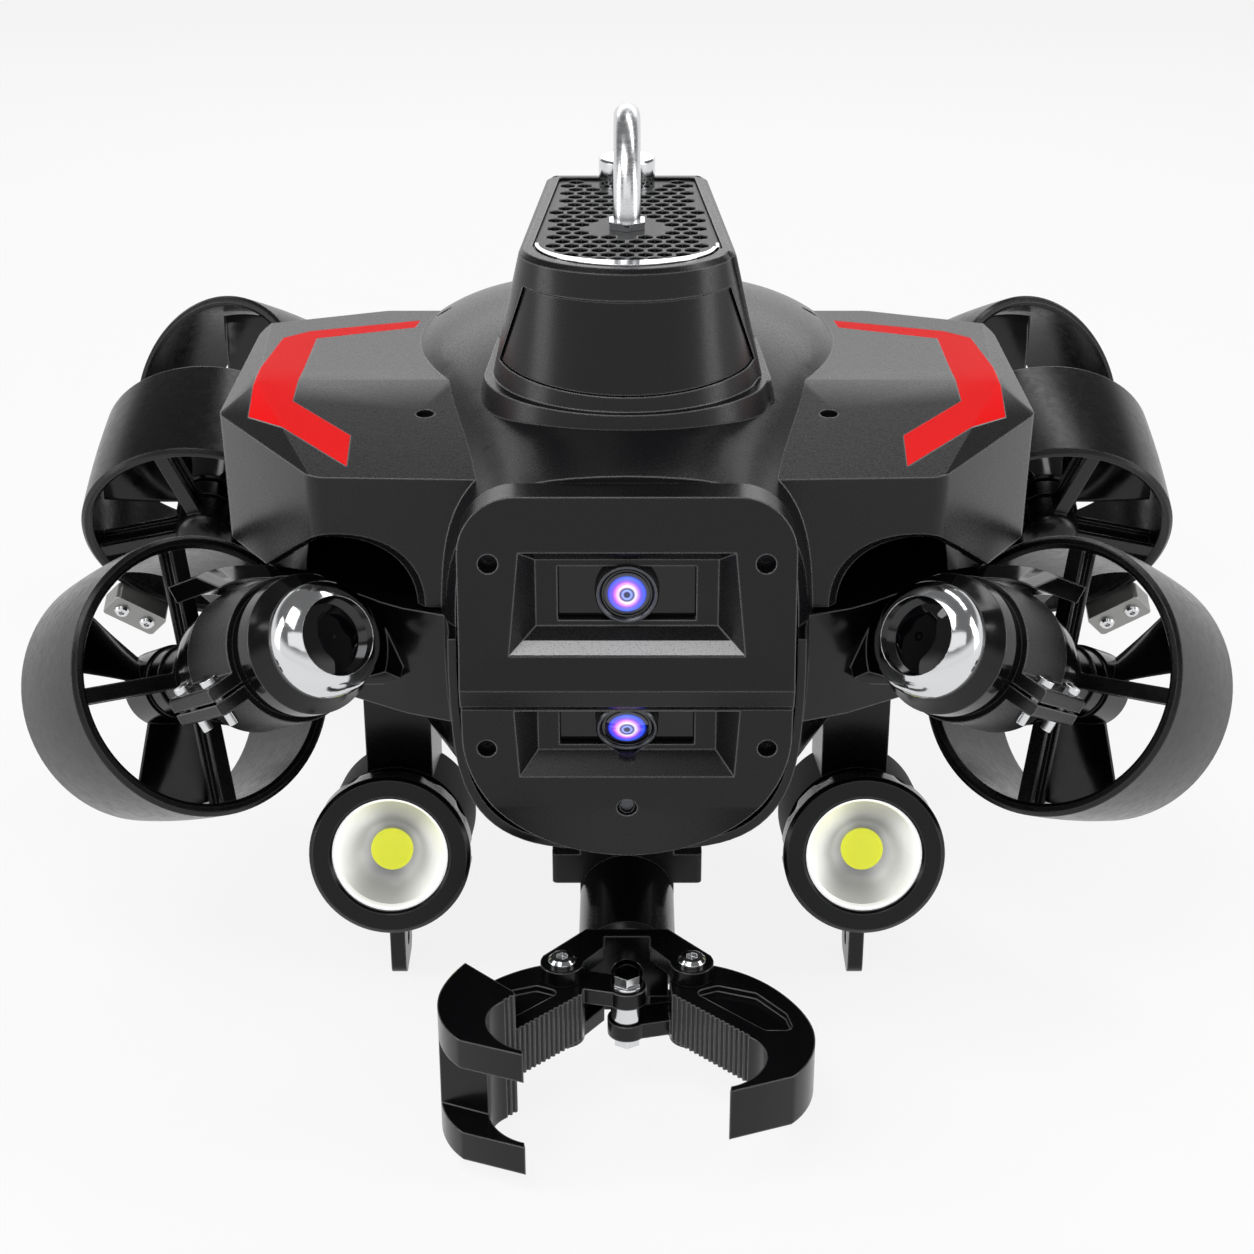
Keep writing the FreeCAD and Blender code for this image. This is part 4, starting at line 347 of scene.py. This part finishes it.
def steel(name, roughest, smoothest):
    """Stainless steel with faint hand-polishing lines, between two roughnesses."""
    material, tree, output = new_material(name)
    point = object_point(tree)
    normal, edges = edge_mask(tree, 0.4 * MM)
    stretched = add(tree, "ShaderNodeMapping", {"Vector": point, "Scale": (1.0, 1.0, 14.0)})
    lines = add(tree, "ShaderNodeTexNoise",
                {"Vector": stretched.outputs[0], "Scale": per_metre(9.0), "Detail": 5.0})
    rough = noise_between(tree, lines, smoothest, roughest)
    bump = add(tree, "ShaderNodeBump",
               {"Height": lines.outputs["Fac"], "Distance": 0.01 * MM, "Strength": 0.4, "Normal": normal})
    # Edges are painted a brighter steel colour: a painted highlight along the edges.
    base = add(tree, "ShaderNodeMix",
               {"Factor": edges, 6: linear("#DADBDD"), 7: linear("#F4F4F5")}, data_type="RGBA")
    shader = add(tree, "ShaderNodeBsdfPrincipled",
                 {"Base Color": base.outputs[2], "Roughness": rough, "Metallic": 1.0,
                  "Normal": bump.outputs[0]})
    tree.links.new(shader.outputs[0], output.inputs[0])
    return material


def polished_steel():
    """Electropolished steel of the pod bezels and fixings: mirror bright."""
    return steel("electropolished_stainless", 0.16, 0.07)


def satin_steel():
    """Tumbled steel of the lifting bow: bright, with soft reflections."""
    return steel("tumbled_stainless", 0.32, 0.22)


def lens_glass():
    """Dark multi-coated optical glass: black in depth, with a faint blue bloom."""
    material, tree, output = new_material("coated_optical_glass")
    point = object_point(tree)
    bloom = add(tree, "ShaderNodeTexNoise", {"Vector": point, "Scale": per_metre(20.0), "Detail": 1.0})
    tint = add(tree, "ShaderNodeMix",
               {"Factor": bloom.outputs["Fac"], 6: linear("#030304"), 7: linear("#08080C")},
               data_type="RGBA")
    rough = noise_between(tree, bloom, 0.02, 0.06)
    shader = add(tree, "ShaderNodeBsdfPrincipled",
                 {"Base Color": tint.outputs[2], "Roughness": rough, "Specular IOR Level": 0.5,
                  "Coat Weight": 0.4, "Coat Roughness": 0.02})
    tree.links.new(shader.outputs[0], output.inputs[0])
    return material


def clear_glass():
    """Toughened clear cover glass."""
    material, tree, output = new_material("toughened_glass")
    point = object_point(tree)
    film = add(tree, "ShaderNodeTexNoise", {"Vector": point, "Scale": per_metre(12.0), "Detail": 2.0})
    rough = noise_between(tree, film, 0.0, 0.03)
    clear = add(tree, "ShaderNodeBsdfTransparent", {"Color": linear("#FAFAFA")})
    gloss = add(tree, "ShaderNodeBsdfGlossy", {"Color": linear("#FFFFFF"), "Roughness": rough})
    facing = add(tree, "ShaderNodeFresnel", {"IOR": 1.45})
    mix = add(tree, "ShaderNodeMixShader",
              {0: facing.outputs[0], 1: clear.outputs[0], 2: gloss.outputs[0]})
    tree.links.new(mix.outputs[0], output.inputs[0])
    return material


def phosphor():
    """Yellow-green phosphor under silicone: even, with the dice showing as a fine grid."""
    settings = bpy.context.scene.vehicle
    material, tree, output = new_material("phosphor_silicone")
    point = object_point(tree)
    dice = add(tree, "ShaderNodeTexVoronoi", {"Vector": point, "Scale": per_metre(1.6), "Randomness": 0.1})
    colour = settings.led_colour
    deep = [colour[0] * 0.9, colour[1] * 0.88, colour[2], 1.0]
    tint = add(tree, "ShaderNodeMix",
               {"Factor": dice.outputs["Distance"], 6: list(colour), 7: deep}, data_type="RGBA")
    shader = add(tree, "ShaderNodeBsdfPrincipled",
                 {"Base Color": tint.outputs[2], "Roughness": 0.35, "Emission Color": tint.outputs[2],
                  "Emission Strength": 0.55, "Specular IOR Level": 0.2})
    tree.links.new(shader.outputs[0], output.inputs[0])
    return material


def radius_from(tree, origin_mm, axis):
    """Distance in metres from the line through origin_mm along axis, and the node that gives the offset."""
    shifted = add(tree, "ShaderNodeVectorMath",
                  {0: object_point(tree), 1: [value * MM for value in origin_mm]}, operation="SUBTRACT")
    along = add(tree, "ShaderNodeVectorMath", {0: shifted.outputs[0], 1: list(axis)},
                operation="DOT_PRODUCT")
    run = add(tree, "ShaderNodeVectorMath", {0: list(axis), "Scale": along.outputs["Value"]},
              operation="SCALE")
    off = add(tree, "ShaderNodeVectorMath", {0: shifted.outputs[0], 1: run.outputs[0]},
              operation="SUBTRACT")
    return add(tree, "ShaderNodeVectorMath", {0: off.outputs[0]}, operation="LENGTH").outputs["Value"], off


def ramp(tree, value, stops):
    """Colour ramp through (position, hex colour) stops."""
    made = add(tree, "ShaderNodeValToRGB", {0: value})
    elements = made.color_ramp.elements
    elements[0].position, elements[0].color = stops[0][0], linear(stops[0][1])
    elements[1].position, elements[1].color = stops[-1][0], linear(stops[-1][1])
    for position, colour in stops[1:-1]:
        elements.new(position).color = linear(colour)
    return made.outputs[0]


def spun_reflector(name, origin_mm, axis):
    """Spun aluminium cup, vacuum metallised, with a painted reflection: a painted bright rim, a silver
    flank painted lighter towards the rim with two painted darker lobes, and a painted glow.
    """
    material, tree, output = new_material(name)
    radius, off = radius_from(tree, origin_mm, axis)
    share = add(tree, "ShaderNodeMath", {0: radius, 1: CUP_RADIUS * MM}, operation="DIVIDE")
    split = add(tree, "ShaderNodeSeparateXYZ", {0: off.outputs[0]})
    turn = add(tree, "ShaderNodeMath", {0: split.outputs["Z"], 1: split.outputs["X"]}, operation="ARCTAN2")
    twice = add(tree, "ShaderNodeMath", {0: turn.outputs[0], 1: 2.0, 2: 0.5}, operation="MULTIPLY_ADD")
    lobes = add(tree, "ShaderNodeMath", {0: twice.outputs[0]}, operation="COSINE")
    # Two darker lobes round the axis: painted shade in the reflection.
    flare = add(tree, "ShaderNodeMapRange",
                {"Value": lobes.outputs[0], "From Min": -1.0, "From Max": 0.6,
                 "To Min": 0.45, "To Max": 1.0}, interpolation_type="SMOOTHSTEP")
    # Grey near the centre to white at the rim: a painted reflection.
    colour = ramp(tree, share.outputs[0],
                  ((0.36, "#8A8A8C"), (0.50, "#B4B4B6"), (0.72, "#E2E2E3"), (0.93, "#FFFFFF"),
                   (1.0, "#FFFFFF")))
    rim = add(tree, "ShaderNodeMath", {0: share.outputs[0], 1: RIM_SHARE}, operation="GREATER_THAN")
    even = add(tree, "ShaderNodeMath", {0: flare.outputs[0], 1: rim.outputs[0]}, operation="MAXIMUM")
    tint = add(tree, "ShaderNodeMix", {"Factor": even.outputs[0], 6: linear("#262628"), 7: colour},
               data_type="RGBA")
    turns = add(tree, "ShaderNodeMath", {0: radius, 1: 2 * math.pi * per_metre(TURNING_MM)},
                operation="MULTIPLY")
    wave = add(tree, "ShaderNodeMath", {0: turns.outputs[0]}, operation="SINE")
    bump = add(tree, "ShaderNodeBump", {"Height": wave.outputs[0], "Distance": 0.02 * MM, "Strength": 0.3})
    # The emission is a painted glow; the cup is no lamp.
    shader = add(tree, "ShaderNodeBsdfPrincipled",
                 {"Base Color": tint.outputs[2], "Metallic": 0.6, "Roughness": 0.3,
                  "Normal": bump.outputs[0], "Emission Color": tint.outputs[2],
                  "Emission Strength": 0.55})
    tree.links.new(shader.outputs[0], output.inputs[0])
    return material


def coated_lens(name, origin_mm, axis, reach_mm):
    """Camera front element: rings of violet, blue and pale glare round the pupil, painted in as the
    coatings' reflection, with a painted glare across the lens and a painted glow.
    """
    material, tree, output = new_material(name)
    radius, off = radius_from(tree, origin_mm, axis)
    share = add(tree, "ShaderNodeMath", {0: radius, 1: reach_mm * MM}, operation="DIVIDE")
    # Painted reflection: coloured rings and a pale glare ring painted round the pupil.
    rings = ramp(tree, share.outputs[0],
                 ((0.0, "#1B2A66"), (0.12, "#070914"), (0.20, "#8FA4FF"), (0.30, "#0F1026"),
                  (0.40, "#F4E6FF"), (0.52, "#D98CF4"), (0.64, "#7C4FE0"), (0.78, "#3E6BFF"),
                  (0.88, "#151A3C"), (1.0, "#040406")))
    split = add(tree, "ShaderNodeSeparateXYZ", {0: off.outputs[0]})
    side = add(tree, "ShaderNodeMapRange",
               {"Value": split.outputs["X"], "From Min": -reach_mm * MM, "From Max": reach_mm * MM})
    # Painted glare: violet at the left, white in the middle and blue at the right.
    painted_side_glare = ramp(tree, side.outputs[0], ((0.0, "#E089FF"), (0.5, "#FFFFFF"), (1.0, "#7FA8FF")))
    tint = add(tree, "ShaderNodeMix", {"Factor": 1.0, 6: rings, 7: painted_side_glare}, data_type="RGBA",
               blend_type="MULTIPLY")
    # The emission is a painted glow; the lens is no lamp.
    shader = add(tree, "ShaderNodeBsdfPrincipled",
                 {"Base Color": tint.outputs[2], "Roughness": 0.05, "Emission Color": tint.outputs[2],
                  "Emission Strength": 0.9, "Coat Weight": 1.0, "Coat Roughness": 0.01})
    tree.links.new(shader.outputs[0], output.inputs[0])
    return material


# Finish of each material slot.
FINISHES = {
    "shell_satin": satin_shell, "shell_gloss": gloss_shell, "red_inlay": red_inlay,
    "panel_black": panel_moulding, "grille_dark": grille_paint, "polished_steel": polished_steel,
    "screw_dark": screw_steel, "window_dark": window_smoke, "camera_metal": camera_barrel,
    "anodised": anodised_black, "jaw_black": jaw_coat, "trim_aluminium": trim_metal,
    "lens_dark": lens_glass, "led_yellow": phosphor, "lamp_glass": clear_glass,
    "duct_black": duct_moulding, "propeller_black": propeller_moulding, "reflector": polished_steel,
}
# Nodes whose finish differs from that of their material slot.
OWN_FINISHES = {"lamp_body_left": lamp_barrel, "lamp_body_right": lamp_barrel, "tow_bail": satin_steel}


def smoothing_group(angle):
    """Geometry nodes that merge a CAD node's loose triangles and smooth its gentle edges."""
    group = bpy.data.node_groups.new("smooth_moulding", "GeometryNodeTree")
    group.interface.new_socket("Geometry", in_out="INPUT", socket_type="NodeSocketGeometry")
    group.interface.new_socket("Geometry", in_out="OUTPUT", socket_type="NodeSocketGeometry")
    source = add(group, "NodeGroupInput")
    merged = add(group, "GeometryNodeMergeByDistance",
                 {"Geometry": source.outputs[0], "Distance": 0.002 * MM})
    bend = add(group, "GeometryNodeInputMeshEdgeAngle")
    gentle = add(group, "FunctionNodeCompare", {0: bend.outputs[0], 1: angle}, operation="LESS_THAN")
    soft = add(group, "GeometryNodeSetShadeSmooth", {"Geometry": merged.outputs[0]}, domain="FACE")
    creased = add(group, "GeometryNodeSetShadeSmooth",
                  {"Geometry": soft.outputs[0], "Shade Smooth": gentle.outputs[0]}, domain="EDGE")
    sink = add(group, "NodeGroupOutput")
    group.links.new(creased.outputs[0], sink.inputs[0])
    return group


# Surfaces.


def unit(vector):
    """The vector at length 1."""
    return np.asarray(vector, float) / np.linalg.norm(vector)


def axes_along(direction):
    """Unit axes with the third along direction and the first as near to world X as can be."""
    z_axis = unit(direction)
    x_axis = unit(np.array((1.0, 0.0, 0.0)) - z_axis * z_axis[0])
    return np.stack((x_axis, np.cross(z_axis, x_axis), z_axis))


def grid_mesh(name, points, closed_u=False):
    """Mesh of a grid of points of shape (rows, columns, 3) in millimetres, quads between neighbours."""
    rows, columns = points.shape[:2]
    index = np.arange(rows * columns).reshape(rows, columns)
    if closed_u:
        index = np.hstack((index, index[:, :1]))
    corners = (index[:-1, :-1], index[:-1, 1:], index[1:, 1:], index[1:, :-1])
    quads = np.stack(corners, axis=-1).reshape(-1, 4)
    mesh = bpy.data.meshes.new(name)
    mesh.from_pydata((points.reshape(-1, 3) * MM).tolist(), [], quads.tolist())
    mesh.polygons.foreach_set("use_smooth", np.ones(len(mesh.polygons), bool))
    mesh.update()
    return mesh


def turned(name, profile, origin, direction, segments=96):
    """Surface of revolution: P(i, t) = origin + r_i (cos t X + sin t Y) + h_i Z, with Z along direction."""
    profile = np.asarray(profile, float)
    angle = np.linspace(0, 2 * math.pi, segments, endpoint=False)
    radius = profile[:, 0][:, None]
    local = np.stack((radius * np.cos(angle), radius * np.sin(angle),
                      np.repeat(profile[:, 1][:, None], segments, axis=1)), axis=-1)
    points = local @ axes_along(direction) + np.asarray(origin, float)
    return grid_mesh(name, points, closed_u=True)


def add_piece(name, mesh, material, body):
    """Links a mesh as a piece that rides on a body, with its sharp edges marked."""
    piece = bpy.data.objects.new(name, mesh)
    bpy.context.scene.collection.objects.link(piece)
    mesh.materials.append(material)
    mesh.set_sharp_from_angle(angle=PIECE_ANGLE)
    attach(piece, body)
    return piece


def both_sides(vector):
    """A place or direction on the left, then its mirror image on the right."""
    return (("left", np.array(vector)), ("right", np.array(vector) * (-1.0, 1.0, 1.0)))


class VehicleFinishes(bpy.types.Operator):
    """Gives every CAD node its finish and smooth shading"""
    bl_idname = "vehicle.finishes"
    bl_label = "Finish the CAD nodes"

    def execute(self, context):
        group = smoothing_group(context.scene.vehicle.smooth_angle)
        made = {}
        for part in frame["record"]["subparts"]:
            finish = OWN_FINISHES.get(part["node"], FINISHES[part["material_slot"]])
            if finish not in made:
                made[finish] = finish()
            node = frame["nodes"][part["node"]]
            node.data.materials.clear()
            node.data.materials.append(made[finish])
            modifier = node.modifiers.new("smooth_moulding", "NODES")
            modifier.node_group = group
        return {"FINISHED"}


class VehicleCameras(bpy.types.Operator):
    """Adds the stepped barrels and coated front elements of the two cameras"""
    bl_idname = "vehicle.cameras"
    bl_label = "Camera lenses"

    def execute(self, context):
        barrel = camera_barrel()
        baffle = lens_glass()
        for name, height, tilt in (("upper", UPPER_CAMERA_Z, 0.0),
                                   ("lower", LOWER_CAMERA_Z, LOWER_CAMERA_TILT)):
            origin = np.array((0.0, CAMERA_FACE_Y, height))
            axis = np.array((0.0, -math.cos(tilt), -math.sin(tilt)))
            bezel = turned("camera_bezel_" + name, CAMERA_BEZEL, origin, axis)
            add_piece("camera_bezel_" + name, bezel, barrel, "hull")
            rings = turned("camera_baffle_" + name, CAMERA_BAFFLE, origin, axis)
            add_piece("camera_baffle_" + name, rings, baffle, "hull")
            spread = np.linspace(LENS_RADIUS, AXIS_RADIUS, 16)
            dome = [(r, LENS_RISE * (1 - (r / LENS_RADIUS) ** 2) + LENS_SEAT) for r in spread]
            coating_and_glare = coated_lens("camera_coating_and_glare_" + name, origin, axis, LENS_RADIUS)
            lens = turned("camera_lens_" + name, dome, origin, axis)
            add_piece("camera_lens_" + name, lens, coating_and_glare, "hull")
        return {"FINISHED"}


class VehicleSill(bpy.types.Operator):
    """Lays the pale sill on the floor of the upper camera recess; its near-white colour is a painted
    reflection.
    """
    bl_idname = "vehicle.sill"
    bl_label = "Recess sill"

    def execute(self, context):
        back, front = np.array(SILL_BACK), np.array(SILL_FRONT)
        rows = []
        for share in np.linspace(0, 1, 6):
            half, y, z = back + (front - back) * share
            rows.append([(half * x, y, z + SILL_LIFT) for x in np.linspace(-1, 1, 24)])
        sill = grid_mesh("recess_sill", np.array(rows))
        # The near-white colour stands for the recess floor's reflection: a painted reflection.
        finish = moulded("pale_sill_painted_reflection", linear("#D8D8D8"), roughness=0.3, grain_mm=0.5,
                         grain_depth_mm=0.004, wear_and_highlight=0.0, metallic=0.5, edge=0.1 * MM)
        add_piece("recess_sill", sill, finish, "hull")
        return {"FINISHED"}


class VehicleLamps(bpy.types.Operator):
    """Replaces the lamps' reflectors and light sources with spun cups and domed phosphor"""
    bl_idname = "vehicle.lamps"
    bl_label = "Lamp optics"

    def execute(self, context):
        silicone = phosphor()
        for side, origin in both_sides(LAMP_ORIGIN):
            axis = np.array((0.0, -math.cos(LAMP_TILT), math.sin(LAMP_TILT)))
            name = "lamp_cup_" + side
            share = np.linspace(0, 1, 24)[1:]
            radius = FLANK_RADIUS - FLANK_RUN * share
            height = FLANK_TOP - FLANK_DEPTH * (1 - (1 - share) ** FLANK_CURVE)
            profile = CUP_RIM + tuple(zip(radius, height)) + ((AXIS_RADIUS, CUP_FLOOR),)
            cup = turned(name, profile, origin, axis)
            cup = add_piece(name, cup, spun_reflector(name, origin, axis), "hull")
            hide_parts("lamp_reflectors")
            spread = np.linspace(SOURCE_RADIUS, AXIS_RADIUS, 12)
            rise = SOURCE_RISE * np.sqrt(1 - (spread / SOURCE_RADIUS) ** 2)
            dome = ((SOURCE_RADIUS, CUP_FLOOR),) + tuple(zip(spread, SOURCE_EDGE + rise))
            name = "lamp_source_" + side
            source = turned(name, dome, origin, axis)
            source = add_piece(name, source, silicone, "hull")
            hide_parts("lamp_leds")
        return {"FINISHED"}


class VehicleStage(bpy.types.Operator):
    """Pale floor, pale room, soft lights and the photograph's camera"""
    bl_idname = "vehicle.stage"
    bl_label = "Studio stage"

    def execute(self, context):
        scene = context.scene
        scene.view_settings.view_transform = "Standard"
        self.make_floor(scene)
        self.make_world(scene)
        self.make_lights(scene)
        self.make_camera(scene)
        return {"FINISHED"}

    def make_floor(self, scene):
        """Large pale sheet under the feet; it shows as near white and keeps the soft shadow."""
        mesh = bpy.data.meshes.new("studio_floor")
        signs = ((-1, -1), (1, -1), (1, 1), (-1, 1))
        corners = [(x * FLOOR_REACH, y * FLOOR_REACH, -FLOOR_DROP) for x, y in signs]
        mesh.from_pydata(corners, [], [(0, 1, 2, 3)])
        floor = bpy.data.objects.new("studio_floor", mesh)
        scene.collection.objects.link(floor)
        material, tree, output = new_material("pale_paper")
        fibre = add(tree, "ShaderNodeTexNoise",
                    {"Vector": object_point(tree), "Scale": per_metre(3.0), "Detail": 2.0})
        tone = add(tree, "ShaderNodeMix",
                   {"Factor": fibre.outputs["Fac"], 6: linear("#F2F2F2"), 7: linear("#F6F6F6")},
                   data_type="RGBA")
        paper = add(tree, "ShaderNodeBsdfDiffuse", {"Color": tone.outputs[2]})
        white = add(tree, "ShaderNodeEmission", {"Color": linear("#FFFFFF"), "Strength": 1.0})
        path = add(tree, "ShaderNodeLightPath")
        either = add(tree, "ShaderNodeMath",
                     {0: path.outputs["Is Camera Ray"], 1: path.outputs["Is Glossy Ray"]},
                     operation="MAXIMUM")
        seen = add(tree, "ShaderNodeMath",
                   {0: either.outputs[0], 1: path.outputs["Is Transmission Ray"]}, operation="MAXIMUM")
        part = add(tree, "ShaderNodeMath", {0: seen.outputs[0], 1: PAPER_WHITE}, operation="MULTIPLY")
        mix = add(tree, "ShaderNodeMixShader",
                  {0: part.outputs[0], 1: paper.outputs[0], 2: white.outputs[0]})
        tree.links.new(mix.outputs[0], output.inputs[0])
        mesh.materials.append(material)

    def make_world(self, scene):
        """Room that is white near the horizon and dimmer overhead, by the height of each direction."""
        world = bpy.data.worlds.new("studio_world")
        scene.world = world
        world.use_nodes = True
        tree = world.node_tree
        tree.nodes.clear()
        output = add(tree, "ShaderNodeOutputWorld")
        direction = add(tree, "ShaderNodeTexCoord").outputs["Generated"]
        height = add(tree, "ShaderNodeSeparateXYZ", {0: direction})
        strength = add(tree, "ShaderNodeMapRange",
                       {"Value": height.outputs["Z"], "From Min": HORIZON_EDGE, "From Max": OVERHEAD_EDGE,
                        "To Min": HORIZON_LIGHT, "To Max": OVERHEAD_LIGHT}, interpolation_type="SMOOTHSTEP")
        room = add(tree, "ShaderNodeBackground",
                   {"Color": linear("#FFFFFF"), "Strength": strength.outputs[0]})
        tree.links.new(room.outputs[0], output.inputs[0])

    def make_lights(self, scene):
        """Rectangular soft lights, each turned to its aim."""
        for name, place, aim, size, power in STUDIO_LIGHTS:
            light = bpy.data.lights.new(name, "AREA")
            light.shape = "RECTANGLE"
            light.size, light.size_y = size
            light.energy = power
            lamp = bpy.data.objects.new(name, light)
            lamp.location = place
            lamp.rotation_euler = (Vector(aim) - Vector(place)).to_track_quat("-Z", "Y").to_euler()
            scene.collection.objects.link(lamp)

    def make_camera(self, scene):
        """Camera at the photograph's place, with its angle of view."""
        camera = bpy.data.cameras.new("photo_camera")
        camera.sensor_width = SENSOR_MM
        camera.lens = FOCAL_PIXELS * SENSOR_MM / IMAGE_SIZE
        view = bpy.data.objects.new("photo_camera", camera)
        view.location = CAMERA_PLACE
        view.rotation_euler = (math.pi / 2 - CAMERA_ELEVATION, 0.0, 0.0)
        scene.collection.objects.link(view)
        scene.camera = view


class VehiclePanel(bpy.types.Panel):
    """Lists the vehicle's settings and steps in the sidebar"""
    bl_idname = "VIEW3D_PT_vehicle"
    bl_label = "Inspection vehicle"
    bl_space_type = "VIEW_3D"
    bl_region_type = "UI"
    bl_category = "Vehicle"

    def draw(self, context):
        column = self.layout.column()
        for name in VehicleSettings.__annotations__:
            column.prop(context.scene.vehicle, name)
        for operator in STEPS:
            column.operator(operator.bl_idname)


STEPS = (VehicleStage, VehicleFinishes, VehicleCameras, VehicleSill, VehicleLamps)
CLASSES = (VehicleSettings,) + STEPS + (VehiclePanel,)


def register():
    for item in CLASSES:
        bpy.utils.register_class(item)
    bpy.types.Scene.vehicle = bpy.props.PointerProperty(type=VehicleSettings)


def unregister():
    del bpy.types.Scene.vehicle
    for item in reversed(CLASSES):
        bpy.utils.unregister_class(item)


def main():
    register()
    bpy.ops.vehicle.stage()
    bpy.ops.vehicle.finishes()
    bpy.ops.vehicle.cameras()
    bpy.ops.vehicle.sill()
    bpy.ops.vehicle.lamps()


if __name__ == "__main__":
    main()
